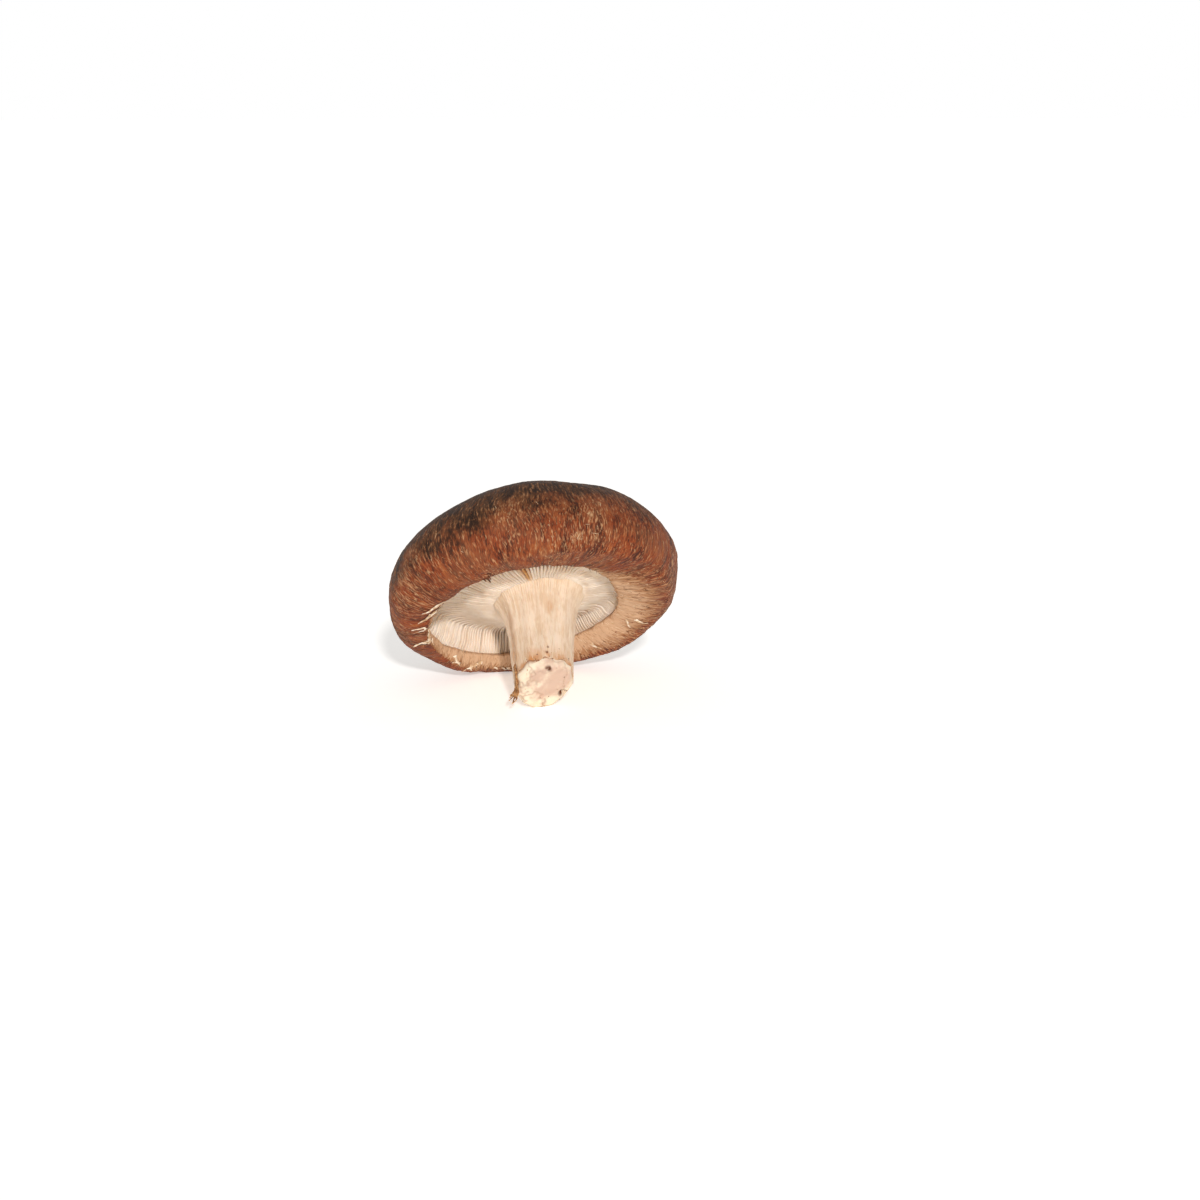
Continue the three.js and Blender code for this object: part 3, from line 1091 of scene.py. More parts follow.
def spotted(points: Array, centres: list[Array], spots: tuple[Spot, ...], rough: Array) -> Array:
    """How strongly spots colour points.

    Args:
        points: Places, one a row.
        centres: The places of the spots.
        spots: The spots.
        rough: How ragged their outlines are at each point.

    Returns:
        A number from 0 to 1 for each point.
    """
    total = np.zeros(len(points))
    for centre, spot in zip(centres, spots):
        apart = np.linalg.norm(points - centre, axis=1) / spot.size + rough
        total = np.maximum(total, spot.strength * (1 - ease(0.3, 1.0, apart)))
    return total


@dataclass
class Cap:
    """The cap: brown skin, rolled-in margin, the margin's inner face, and the roof above the gills."""

    form: Form
    columns: int = 640
    dome_rows: int = 80
    margin_rows: int = 30
    face_rows: int = 22
    roof_shares: tuple[float, ...] = (0, 0.02, 0.05, 0.09, 0.13, 0.18, 0.26, 0.36, 0.5, 0.66, 0.82, 1)
    least_step: float = 0.18
    least_columns: int = 20
    lump_relief: float = 0.3
    margin_frill: float = 0.25
    veil_ragged: float = 0.45
    fibre_layers: tuple[Layer, ...] = (Layer(0, (1, 1, 0.3), 0.08), Layer(1, (2.2, 2.2, 0.7), 0.05))
    lump_layers: tuple[Layer, ...] = (Layer(2, 0.13), Layer(1, 0.4, 0.35))
    frill_layers: tuple[Layer, ...] = (Layer(3, (0.3, 0.3, 0.2)),)
    torn_layers: tuple[Layer, ...] = (
        Layer(1, (0.3, 0.3, 1)),
        Layer(2, (1.2, 1.2, 1), 0.4),
        Layer(0, (3, 3, 1), 0.25),
    )
    fold_layers: tuple[Layer, ...] = (Layer(3, (0.35, 0.35, 0.2), 0.3), Layer(0, (1.2, 1.2, 0.4), 0.15))
    lip: tuple[tuple[float, float], ...] = ((0.15, 0.2), (0.45, 0.7))
    dome_length: float = 46.7
    margin_length: float = 10.7
    face_length: float = 8.0
    felt: tuple[Spot, ...] = (
        Spot(282, 1.0, 1.1, 0.9),
        Spot(276.5, 1.5, 1.3, 0.7),
        Spot(274.5, 1.6, 0.8, 0.6),
        Spot(230.5, 1.3, 0.8, 0.7),
        Spot(232, 1.42, 0.9, 0.6),
        Spot(287.5, 0.9, 0.8, 0.7),
        Spot(306, 0.88, 0.7, 0.7),
        Spot(245.5, 0.88, 0.7, 0.7),
        Spot(210.5, 1.0, 0.8, 0.7),
    )
    darkened: tuple[Spot, ...] = (
        Spot(297, 1.18, 3.0, 0.7),
        Spot(224, 1.05, 6.0, 0.75),
        Spot(236, 0.92, 5.0, 0.7),
        Spot(205, 1.2, 3.5, 0.6),
        Spot(262, 0.72, 5.0, 0.6),
    )
    grains: list[Grain] = field(default_factory=lambda: [Grain(seed) for seed in (11, 12, 13, 14)])

    def __post_init__(self) -> None:
        """Adds felt spots and dark patches on the sides that the photograph does not show."""
        source = np.random.default_rng(17)
        angles = source.uniform(-30, 200, 22)
        spots = [Spot(a, source.uniform(0.5, 1.8), source.uniform(0.5, 1.2), 0.7) for a in angles]
        self.felt += tuple(spots[:14])
        self.darkened += tuple(Spot(s.angle, s.at, 4.5 * s.size, 0.6) for s in spots[14:])

    def along(self, angle: Array, way: float) -> Array:
        """Places on a drum as wide as the cap, in millimetres, whose height is the distance from the top.

        Args:
            angle: Angles round the growing axis.
            way: 1 at the widest line, 2 at the margin's lowest line, 3 at the inner face's edge.

        Returns:
            One place a row, for patterns that run from the top in slightly wavy lines.
        """
        lengths = (self.dome_length, self.margin_length, self.face_length)
        distance = sum(length * min(max(way - i, 0.0), 1.0) for i, length in enumerate(lengths))
        straight = around(self.form.cap_radius, angle, distance)
        wavy = 0.022 * self.grains[3].at(straight, 0.16) * math.sin(min(way, 1.0) * QUARTER)
        return around(self.form.cap_radius, angle + wavy, distance)

    def relief(self, angle: Array, way: float) -> Array:
        """How far fibres, lumps and the frill of the margin stand out, in millimetres."""
        drum = self.along(angle, way)
        fade = math.sin(min(way, 1.0) * QUARTER) ** 2
        fibres = layered(self.grains, drum, self.fibre_layers)
        lumps = layered(self.grains, self.form.skin(angle, min(way, 2.0) * QUARTER), self.lump_layers)
        frill = layered(self.grains, drum, self.frill_layers) * ease(1.5, 2.0, way)
        return fade * (fibres + self.margin_frill * frill + self.lump_relief * lumps)

    def ragged(self, angle: Array) -> Array:
        """How far the inner face's torn edge leaves its even line."""
        drum = around(self.form.cap_radius, angle, 0.0)
        return self.veil_ragged * layered(self.grains, drum, self.torn_layers)

    def place(self, angle: Array, way: float) -> Array:
        """Upright points of the cap's whole surface.

        Args:
            angle: Angles round the growing axis.
            way: 0 at the top, 2 at the margin's lowest line, 3 at the inner face's edge, and 4 where the roof
                meets the stem.

        Returns:
            One point a row.
        """
        form = self.form
        if way <= 2:
            return form.skin(angle, way * QUARTER, self.relief(angle, way))
        share = way - 2
        if way <= 3:
            lowest = form.skin(angle, 2 * QUARTER, self.relief(angle, 2.0))
            folds = layered(self.grains, self.along(angle, way), self.fold_layers)
            edge = form.veil_edge(angle) + self.ragged(angle)
            radius = lerp(np.hypot(lowest[:, 0], lowest[:, 1]), edge, share)
            height = lerp(lowest[:, 2], form.veil_level(angle), share ** 2)
            return around(radius, angle, height + folds * math.sin(share * math.pi))
        return form.gill_place(angle, share - 1, form.gill_space(share - 1))

    def lip_ring(self, angle: Array, outward: float, upward: float) -> Array:
        """Upright points behind the torn edge, in the pocket where the gills begin."""
        radius = self.form.veil_edge(angle) + self.ragged(angle) + outward
        return around(radius, angle, self.form.veil_level(angle) + upward)

    def stand(self, degrees: float, way: float, lift: float) -> tuple[Array, Array]:
        """A place above the surface.

        Args:
            degrees: Angle round the growing axis.
            way: Way down the surface.
            lift: Distance from it in millimetres.

        Returns:
            The upright place, and the direction away from the surface.
        """
        angle = np.array([math.radians(degrees)])
        down = self.place(angle, way + 0.02) - self.place(angle, way - 0.02)
        aside = self.place(angle + 0.01, way) - self.place(angle - 0.01, way)
        away = unit(np.cross(down, aside))[0]
        return self.place(angle, way)[0] + away * lift, away

    def flesh(self, angle: Array, way: float) -> Array:
        """Where the skin has turned to pale flesh, from 0 to 1. Brown reaches the edge on the near side."""
        reach = 2.12 + 1.05 * np.maximum(-np.sin(angle + 0.3), 0) ** 1.2 - 0.22 * np.maximum(np.sin(angle), 0)
        reach -= 0.14 * np.maximum(np.cos(angle), 0) ** 2
        return np.clip((way - reach) / 0.8, 0, 1)

    def tufts(self, angle: Array, way: float) -> Array:
        """Where the felt is thicker, in broad patches, from 0 to 1."""
        return ease(-0.5, 0.6, self.grains[2].at(self.along(angle, way), (0.1, 0.1, 0.08)))

    def covers(self, angle: Array, way: float, felt: Array) -> dict[str, Array]:
        """How thickly each kind of loose fibre lies on the skin, from 0 to 1."""
        tufts = self.tufts(angle, way)
        free = self.form.lay(self.place(angle, way))[:, 2] > 0.35 * MM
        pale = self.flesh(angle, way)
        sides = 0.02 + 0.98 * ease(0.6, 1.45, way)
        return {
            "skin_cover": sides * (0.3 + 0.7 * tufts) * (1 - pale) * free,
            "felt_cover": np.maximum(felt, 0.04 * tufts) * sides * (1 - pale) * free,
            "margin_cover": np.maximum(0.5 * pale, ease(2.7, 2.95, way)) * free,
        }

    def build(self, material: bpy.types.Material) -> bpy.types.Object:
        """Makes the cap as one closed piece.

        Args:
            material: Its finish.

        Returns:
            The cap.
        """
        form = self.form
        ways = [i / self.dome_rows for i in range(1, self.dome_rows + 1)]
        ways += [1 + i / self.margin_rows for i in range(1, self.margin_rows + 1)]
        ways += [2 + i / self.face_rows for i in range(1, self.face_rows + 1)]
        spots = {"felt": self.felt, "dark": self.darkened}
        centres = {
            name: [self.stand(spot.angle, spot.at, 0.0)[0] for spot in marked]
            for name, marked in spots.items()
        }
        skin = Skin(form)

        def add(points: Array, angle: Array, way: float, roof: float) -> None:
            """Keeps one ring with its marks."""
            flow = self.place(angle, min(way + 0.01, 4.0)) - self.place(angle, max(way - 0.01, 0.01))
            rough = 0.45 * self.grains[3].at(points, 0.9)
            painted = {name: spotted(points, centres[name], spots[name], rough) for name in spots}
            covers = self.covers(angle, way, painted["felt"])
            skin.add(
                points,
                {
                    "along": self.along(angle, way),
                    # The greyer top reaches further down the left side, away from the lamp: painted shade.
                    "lean": min(way, 2.0) - 0.22 * np.maximum(np.cos(angle - 3.6), 0),
                    "flesh": self.flesh(angle, way),
                    "roof": np.full(len(angle), roof),
                    "tufts": self.tufts(angle, way),
                    "flow": unit(form.turn_down(flow)),
                    **painted,
                    **(covers if roof == 0 else {name: np.zeros(len(angle)) for name in covers}),
                },
            )

        none = np.zeros(1)
        add(around(0.0, none, form.dome_height) + np.array([form.apex_shift, 0, 0]), none, 0.0, 0.0)
        for way in ways:
            count = self.columns
            length = TURN * form.cap_radius * math.sin(min(way, 1) * QUARTER)
            while count > self.least_columns and length / count < self.least_step:
                count //= 2
            angle = ring_of(count)
            add(self.place(angle, way), angle, way, 0.0)
        angle = ring_of(self.columns)
        for outward, upward in self.lip:
            add(self.lip_ring(angle, outward, upward), angle, 3.0, 0.001)
        for share in self.roof_shares:
            way = 3.0001 + 0.9999 * share
            add(self.place(angle, way), angle, way, 1.0)
        add(around(0.0, none, form.gill_inner_height + 2), none, 4.0, 1.0)
        return skin.close("cap", material)


@dataclass
class Gills(Bladed):
    """The gills: long plates from margin to stem, short ones between them, and tiny ones at the margin."""

    name: ClassVar[str] = "gills"
    sizes: ClassVar[dict[str, float | int]] = {
        "Sides": 8, "Wave": 0.4, "Wave Length": 4.5, "Ragged": 0.2, "Ragged Length": 0.8, "Seed": 3
    }
    form: Form
    long_gills: int = 104
    uneven: float = 0.2
    points: int = 24
    crowding: float = 1.4
    short_ends: tuple[float, float] = (0.38, 0.7)
    tiny_ends: tuple[float, float] = (0.12, 0.3)
    fullness: float = 1.12
    depth_shares: tuple[float, ...] = (1.06, 0.88, 1.0, 0.88)
    sunk: float = 0.35
    bruised: tuple[tuple[int, float], ...] = ((280, 0.4), (284, 0.85), (288, 0.5))
    seed: int = 21

    def draw(self, lines: Lines) -> None:
        """Adds a line for each gill, with its points closer together near the margin."""
        form, source = self.form, np.random.default_rng(self.seed)
        count = 4 * self.long_gills
        for number in range(count):
            kind = number % 4
            end = source.uniform(*((1.0, 1.0), self.tiny_ends, self.short_ends, self.tiny_ends)[kind])
            amber = dict(self.bruised).get(number, 0.0)
            place = number + source.uniform(-self.uneven, self.uneven)
            angle = np.full(self.points, place / count * TURN)
            share = np.linspace(0.0, 1.0, self.points) ** self.crowding * end
            outward, upward = form.into_flesh(angle, share)
            space = form.gill_space(share)
            runs_out = 1 - ease(end - 0.2, end, share) if kind else 1.0
            begins = lerp(0.7, 1.0, ease(0, 0.04, share))
            deep = self.depth_shares[kind] * source.uniform(0.95, 1.05) * runs_out * begins
            sharing = 1 + ease(0.75, 0.45, share) + 2 * ease(0.3, 0.15, share)
            apart = TURN * form.gill_radius(angle, share) / self.long_gills / sharing
            near = lerp(0.8, 1.0, ease(-0.1, 0.7, -np.sin(angle)))
            swollen = lerp(1.2, 1.0, ease(0.1, 0.3, share))
            lines.add(
                form.gill_place(angle, share, space + self.sunk),
                around(1.0, angle + QUARTER, 0.0),
                around(-outward, angle, -upward),
                deep=space * deep + self.sunk,
                thick=self.fullness * near * apart * runs_out ** 0.5 * swollen,
                line=number * 0.12,
                tint=source.uniform(0, 1),
                amber=amber * ease(0.25, 0.4, share) * (1 - ease(0.9, 1.0, share)),
            )


@dataclass
class Stem:
    """The stem: a tough fibrous column that flares under the cap, and its slanting torn end."""

    form: Form
    columns: int = 430
    rows: int = 130
    face_rows: int = 30
    side_rows: int = 18
    end_depth: float = 7.0
    top: float = -1.4
    rim: float = 1.35
    seam: float = 1.7
    seam_wander: float = 1.0
    seam_lean: float = 1.0
    seam_dip: float = 0.9
    recess: float = 1.9
    collar: float = 1.2
    collar_length: float = 3.0
    ribs: int = 104
    fibre_layers: tuple[Layer, ...] = (Layer(0, (0.9, 0.9, 0.07), 0.07), Layer(1, (2.4, 2.4, 0.2), 0.04))
    dent_layers: tuple[Layer, ...] = (Layer(2, (0.28, 0.28, 0.12), 0.22), Layer(3, (0.8, 0.8, 0.5), 0.08))
    seam_layers: tuple[Layer, ...] = (Layer(3, (0.35, 0.35, 1)), Layer(0, (1.0, 1.0, 1), 0.5))
    flesh_layers: tuple[Layer, ...] = (Layer(1, 0.32, 0.4), Layer(2, 0.9, 0.2))
    # Brown stains as angle, distance below the gills, size and strength; those at 189 to 196 degrees, down
    # the left side, are partly painted shade.
    stains_and_shade: tuple[Spot, ...] = (
        Spot(275, 7, 1.5, 0.45),
        Spot(190, 12, 2.2, 0.55),
        Spot(189, 16, 2.4, 0.75),
        Spot(190, 20, 2.0, 0.75),
        Spot(196, 7, 2.6, 0.5),
        Spot(236, 18.5, 1.6, 0.55),
        Spot(250, 20.5, 1.7, 0.6),
        Spot(283, 20, 1.3, 0.5),
    )
    specks: tuple[Spot, ...] = (Spot(266, 19, 0.55), Spot(268, 17.6, 0.35, 0.7), Spot(248, 20.6, 0.4, 0.8))
    # Dark specks on the cut, as angle, share of the radius, size and strength; the one at 25.5 degrees lies
    # in the pit and is partly painted shade.
    face_specks: tuple[Spot, ...] = (
        Spot(273, 0.78, 1.0, 1.0),
        Spot(267, 0.83, 0.8, 0.9),
        Spot(25.5, 0.8, 1.2, 1.0),
        Spot(18, 0.85, 0.8, 0.9),
    )
    hole: Spot = Spot(25.5, 0.8, 1.3, 1.0)
    grains: list[Grain] = field(default_factory=lambda: [Grain(seed) for seed in (31, 32, 33, 34)])

    def along(self, angle: Array, below: Array) -> Array:
        """Places on a drum as wide as the stem, in millimetres, for patterns that run along it."""
        return around(self.form.stem_width, angle, below)

    def relief(self, angle: Array, below: Array) -> Array:
        """How far fibres and dents stand out of the stem's side."""
        drum = self.along(angle, below)
        return layered(self.grains, drum, self.fibre_layers) + layered(self.grains, drum, self.dent_layers)

    def seam_at(self, angle: Array) -> Array:
        """Distance above the cut at which the torn flesh of the end gives way to the stem's side."""
        waves = layered(self.grains, self.along(angle, 0.0), self.seam_layers)
        lean = self.seam_lean * np.cos(angle - math.radians(215))
        dip = self.seam_dip * ease(0.75, 1.0, -np.sin(angle))
        return self.seam + lean - dip + self.seam_wander * waves

    def near_side(self, angle: Array) -> Array:
        """How strong the browned torn line is round the stem: strongest on the near side."""
        return 0.3 + 0.7 * ease(-0.4, 0.3, -np.sin(angle))

    def side(self, angle: Array, above_cut: Array, lift: Array) -> Array:
        """Upright points of the side near the cut, which rounds over into it."""
        past = np.clip(1 - above_cut / self.rim, 0, 1)
        inset = self.rim * (1 - np.sqrt(1 - past ** 2))
        return self.form.stem_place(angle, self.form.cut_distance(angle) - above_cut, 1.0, lift - inset)

    def across(self, angle: Array, inward: float, lift: Array) -> Array:
        """Upright points of the cut, from the stem's middle at 0 to its side at 1."""
        form = self.form
        middle = form.stem_length - form.stem_width * math.tan(form.foot_slant)
        corner = max(0.0, (inward - 1) * form.stem_width / self.rim + 1)
        drop = self.rim * (1 - math.sqrt(1 - corner ** 2))
        return form.stem_place(angle, lerp(middle, form.cut_distance(angle), inward) - drop + lift, inward)

    def marks(self, angle: Array, below: Array, points: Array) -> dict[str, Array]:
        """Named values of a ring of the side."""
        above_seam = self.form.cut_distance(angle) - below - self.seam_at(angle)
        drum = self.along(angle, below)
        rough = 0.45 * self.grains[3].at(drum, (0.8, 0.8, 0.35))
        flow = np.tile(self.form.turn_down(np.array([[0.0, 0.0, -1.0]])), (len(angle), 1))
        painted = {}
        # Stains, partly painted shade down the left side, and dark specks.
        for name, spots in (("stain_and_shade", self.stains_and_shade), ("speck", self.specks)):
            centres = [self.form.stem_place(np.radians([s.angle]), np.array([s.at]))[0] for s in spots]
            squeeze = (1, 1, 0.6) if name == "stain_and_shade" else (1, 1, 1)
            painted[name] = spotted(points * squeeze, [centre * squeeze for centre in centres], spots, rough)
        return {
            "along": drum,
            "crust": self.near_side(angle)
            * (0.7 * (1 - ease(0.1, 1.5, np.abs(above_seam - 0.1))) + 0.2 * (1 - ease(1.5, 5, above_seam))),
            "fibre_cover": np.where(below > 1, 0.25 + 0.75 * ease(9, 1, above_seam), 0.0),
            "crumb_cover": 1 - ease(0.3, 2.5, np.abs(above_seam - 0.3)),
            "flow": flow,
            **painted,
        }

    def build(self, material: bpy.types.Material) -> bpy.types.Object:
        """Makes the column, closed inside the cap and behind the torn end.

        Args:
            material: Its finish.

        Returns:
            The stem.
        """
        form, skin = self.form, Skin(self.form)
        angle, none = ring_of(self.columns), np.zeros(1)

        def add(points: Array, at: Array, below: Array) -> None:
            """Keeps one ring with its marks."""
            skin.add(points, self.marks(at, below, points))

        cut = form.cut_distance(angle)
        add(form.stem_place(none, none + self.top, 0.0), none, none + self.top)
        for i in range(self.rows + 1):
            above_cut = lerp(cut - self.top, 0.35, i / self.rows)
            below = cut - above_cut
            under = 0.3 * (1 - ease(-0.35, -0.05, above_cut - self.seam_at(angle)))
            round_side = 1 - 0.7 * np.maximum(-np.sin(angle), 0)
            collar = self.collar * round_side * np.exp(-np.maximum(below, 0) / self.collar_length)
            ribs = 0.26 * np.sin(self.ribs * angle) * np.exp(-np.maximum(below, 0) / 2.2)
            lift = (self.relief(angle, below) + ribs) * ease(0, 2, below - self.top) + collar - under
            add(self.side(angle, above_cut, lift), angle, below)
        for inward in (0.7, 0.35):
            add(self.across(angle, inward, -self.recess + 0 * angle), angle, cut)
        add(self.across(none, 0.0, -self.recess + none), none, none + form.stem_length)
        return skin.close("stem", material)

    def build_end(self, material: bpy.types.Material) -> bpy.types.Object:
        """Makes the torn end: a slice that wraps over the rim and comes out of the side at a ragged seam.

        Args:
            material: Its finish.

        Returns:
            The end.
        """
        form, skin = self.form, Skin(self.form)
        angle, none = ring_of(self.columns), np.zeros(1)
        spots = [self.across(np.radians([s.angle]), s.at, 0.0)[0] for s in (*self.face_specks, self.hole)]

        def add(points: Array, plain: Array, at: Array, crust: Array, crack: Array, rosy: Array) -> None:
            """Keeps one ring with its marks, which are painted by where it lay before it was roughened."""
            rough = 0.4 * self.grains[3].at(plain, 1.6)
            crust = crust * self.near_side(at)
            skin.add(
                points,
                {
                    "crust": crust,
                    "crack": crack,
                    "rosy": rosy,
                    "speck": spotted(plain, spots[:-1], self.face_specks, rough),
                    "crumb_cover": 0.15 + 0.85 * crust,
                },
            )

        def lumps(points: Array) -> tuple[Array, Array]:
            """How far the flesh stands out at places, and how deep in a crack they are."""
            bumps = layered(self.grains, points, self.flesh_layers)
            # The crack mark both sinks the flesh and greys it, the grey partly painted shade.
            vein = np.abs(self.grains[0].at(points + 3.7, 0.22) + 0.25 * self.grains[3].at(points, 1))
            crack = 1 - ease(0.0, 0.13, vein)
            pit = spotted(points, spots[-1:], (self.hole,), np.zeros(len(points)))
            return bumps - 0.16 * crack - 1.0 * pit, crack

        inner = form.stem_length - self.end_depth
        unmarked = dict.fromkeys(("crust", "crack", "rosy", "speck", "crumb_cover"), none)
        skin.add(form.stem_place(none, none + inner, 0.0), unmarked)
        for i in range(self.side_rows + 1):
            above_cut = np.full(self.columns, lerp(self.seam + 3.0, self.rim, i / self.side_rows))
            plain = self.side(angle, above_cut, 0 * angle)
            out, crack = lumps(plain)
            shown = 1 - ease(-0.3, 0.0, above_cut - self.seam_at(angle))
            lift = lerp(-0.45, 0.06 + 0.3 * self.relief(angle, form.cut_distance(angle) - above_cut), shown)
            points = self.side(angle, above_cut, lift + 0.3 * out * shown)
            crust = 1 - ease(0.1, 1.5, self.seam_at(angle) - above_cut)
            add(points, plain, angle, crust, 0.6 * crack, 0 * angle)
        for i in range(1, self.face_rows):
            inward = math.sin((1 - i / self.face_rows) * QUARTER)
            plain = self.across(angle, inward, 0 * angle)
            out, crack = lumps(plain)
            rim_share = inward ** 8
            points = self.across(angle, inward, out * lerp(1.0, 0.3, rim_share))
            past_rim = 1 - rim_share
            from_seam = self.seam_at(angle) - self.rim * past_rim - 0.2 + 2 * past_rim
            crust = 0.7 * (1 - ease(0.1, 1.1, from_seam))
            upper = np.hypot(inward * np.cos(angle) - 0.12, inward * np.sin(angle) + 0.3)
            add(points, plain, angle, crust, crack, 1 - ease(0.5, 0.95, upper))
        out, crack = lumps(self.across(none, 0.0, 0.0))
        add(self.across(none, 0.0, out), self.across(none, 0.0, 0.0), none, none, crack, 1 + none)
        return skin.close("cut_face", material)


@dataclass(frozen=True)
class Ribbon:
    """A torn scrap that lies on the cap: where it starts and ends, its width and how far its end curls up."""

    start: tuple[float, float]
    end: tuple[float, float]
    width: float
    curl: float = 0.3
    bend: float = 2.0


@dataclass
class Shreds(Bladed):
    """Scraps of the veil that once joined the margin to the stem, left on the margin."""

    name: ClassVar[str] = "veil_shreds"
    sizes: ClassVar[dict[str, float | int]] = {
        "Sides": 8, "Hang": 0.0, "Wave": 0.3, "Wave Length": 1.2, "Ragged": 0.7, "Ragged Length": 0.35,
        "Seed": 9,
    }
    cap: Cap
    ribbons: tuple[Ribbon, ...] = (
        Ribbon((202, 2.4), (189, 1.86), 1.0, 0.4, -1),
        Ribbon((198, 2.6), (191, 1.98), 0.6, 0.2, 1),
        Ribbon((192, 2.85), (178.5, 1.85), 1.5, 0.3, 1.5),
        Ribbon((188, 2.6), (181, 1.95), 0.8, 0.5, -1),
        Ribbon((184, 2.5), (180, 2.1), 0.8, 0.2, 1),
        Ribbon((171.5, 2.15), (174, 1.74), 0.8, 0.6, 1.0),
        Ribbon((170.5, 2.02), (172, 1.78), 0.5, 0.9, -1.0),
        Ribbon((160, 2.1), (155.5, 1.66), 0.9, 0.5, 1.0),
        Ribbon((157, 2.0), (158, 1.74), 0.7, 0.3, 0.5),
        Ribbon((162, 2.5), (157, 2.0), 1.3, 0.2, -1.0),
        Ribbon((167, 2.8), (161, 2.3), 1.2, 0.2, 1.0),
        Ribbon((172, 2.9), (166, 2.5), 0.9, 0.2, 1.0),
        Ribbon((156, 2.8), (153, 2.4), 0.6, 0.2, 1.0),
        Ribbon((98, 2.26), (96, 2.12), 0.6, 0.3, 0.5),
        Ribbon((103, 2.28), (101, 2.18), 0.5, 0.3, -0.5),
    )
    others: int = 9
    other_angles: tuple[float, float] = (-50, 140)
    other_starts: tuple[float, float] = (2.2, 2.8)
    other_widths: tuple[float, float] = (0.4, 0.9)
    points: int = 14
    seed: int = 41

    @property
    def form(self) -> Form:
        """The mushroom's form."""
        return self.cap.form

    def draw(self, lines: Lines) -> None:
        """Adds a line for each scrap: those that the photograph shows, then made-up ones further round."""
        source = np.random.default_rng(self.seed)
        ribbons = list(self.ribbons)
        for _ in range(self.others):
            angle, way = source.uniform(*self.other_angles), source.uniform(*self.other_starts)
            end = (angle + source.uniform(-7, 7), way - source.uniform(0.15, 0.4))
            width, curl = source.uniform(*self.other_widths), source.uniform(0.1, 0.4)
            ribbons.append(Ribbon((angle, way), end, width, curl, 1))
        for ribbon in ribbons:
            self.trace(lines, ribbon, source)

    def trace(self, lines: Lines, ribbon: Ribbon, source: np.random.Generator) -> None:
        """Adds a ribbon's line, laid on the cap, wavy and with its end curled up."""
        share = np.linspace(0, 1, self.points)
        angle = lerp(ribbon.start[0], ribbon.end[0], share) + ribbon.bend * np.sin(share * math.pi)
        way = lerp(ribbon.start[1], ribbon.end[1], share)
        lift = 0.1 + 0.08 * np.sin(share * 7 + source.uniform(0, 6)) ** 2 + ribbon.curl * share ** 3
        stands = [self.cap.stand(*at) for at in zip(angle, np.minimum(way, 2.96), lift)]
        line = np.array([s[0] for s in stands])
        away = np.array([s[1] for s in stands])
        across = np.cross(away, np.gradient(line, axis=0))
        nibbled = 1 + 0.2 * np.sin(share * 14 + ribbon.width * 9)
        taper = 1.15 * ribbon.width * (0.12 + 0.88 * np.sqrt(1 - share)) * nibbled
        lines.add(line, away, across, deep=taper, thick=0.1, tint=source.uniform(0, 1))


@dataclass
class FootStrand(Bladed):
    """A frayed strand of brown stem skin that hangs from the left of the foot."""

    name: ClassVar[str] = "foot_strand"
    sizes: ClassVar[dict[str, float | int]] = {
        "Sides": 6, "Hang": 0.0, "Wave": 0.5, "Wave Length": 1.5, "Ragged": 0.4, "Ragged Length": 0.4,
        "Seed": 5,
    }
    form: Form
    strands: int = 17
    long_strands: int = 7
    long_starts: tuple[float, float] = (18, 21.5)
    short_starts: tuple[float, float] = (24, 26)
    ends: tuple[float, float] = (26, 28.4)
    fray: tuple[float, float] = (0.2, 2.2)
    points: int = 18
    middle: float = 187.0
    half_spread: float = 9
    seed: int = 51

    def draw(self, lines: Lines) -> None:
        """Adds a line for each fibre: first long ones from the stem's side, then short ones from the foot."""
        source = np.random.default_rng(self.seed)
        for number in range(self.strands):
            share = np.linspace(0, 1, self.points)
            start = source.uniform(*(self.long_starts if number < self.long_strands else self.short_starts))
            below = lerp(start, source.uniform(*self.ends), share)
            wander = 5 * np.sin(share * source.uniform(3, 6) + source.uniform(0, 6))
            aside = source.uniform(-self.half_spread, self.half_spread)
            angle = np.radians(self.middle + aside + wander * share)
            fray = source.uniform(*self.fray) * ease(0.4, 1.0, share) ** 1.5
            lift = 0.12 + 0.3 * np.sin(share * 5 + number) ** 2 + fray
            line = self.form.stem_place(angle, below, 1.0, lift)
            facing = around(1.0, angle, 0.0)
            hang = np.cross(facing, np.gradient(line, axis=0))
            lines.add(line, facing, hang, deep=lerp(1.0, 0.42, share), thick=lerp(0.5, 0.32, share))


@dataclass
class MarginNick(Bladed):
    """A small dark tag of skin that hangs from the near edge of the margin."""

    name: ClassVar[str] = "margin_nick"
    sizes: ClassVar[dict[str, float | int]] = {"Sides": 6, "Hang": 0.0, "Wave": 0.3, "Ragged": 0.3, "Seed": 2}
    cap: Cap
    angle: float = 230.5
    points: int = 10
    scraps: tuple[tuple[float, float, float, float], ...] = (
        (0.0, 2.8, 0.8, 1.1), (1.4, 2.8, 0.4, 0.7), (-1.6, 2.75, 0.4, 0.8)
    )

    @property
    def form(self) -> Form:
        """The mushroom's form."""
        return self.cap.form

    def draw(self, lines: Lines) -> None:
        """Adds a line for each scrap, given by its turn in degrees, its start, its drop and its width."""
        share = np.linspace(0, 1, self.points)
        for turn, start, drop, width in self.scraps:
            first, away = self.cap.stand(self.angle + turn, start, 0.15)
            angle = math.radians(self.angle + turn)
            inward = np.array([-math.cos(angle), -math.sin(angle), 0.0])
            curve = np.outer(share, inward) * drop * 1.2 + np.outer(share ** 2, [0.3, 0.0, -1.0]) * drop
            facing, across = (np.tile(way, (self.points, 1)) for way in (away, np.cross(inward, away)))
            lines.add(first + curve, facing, across, deep=width * (1 - 0.7 * share), thick=0.3)


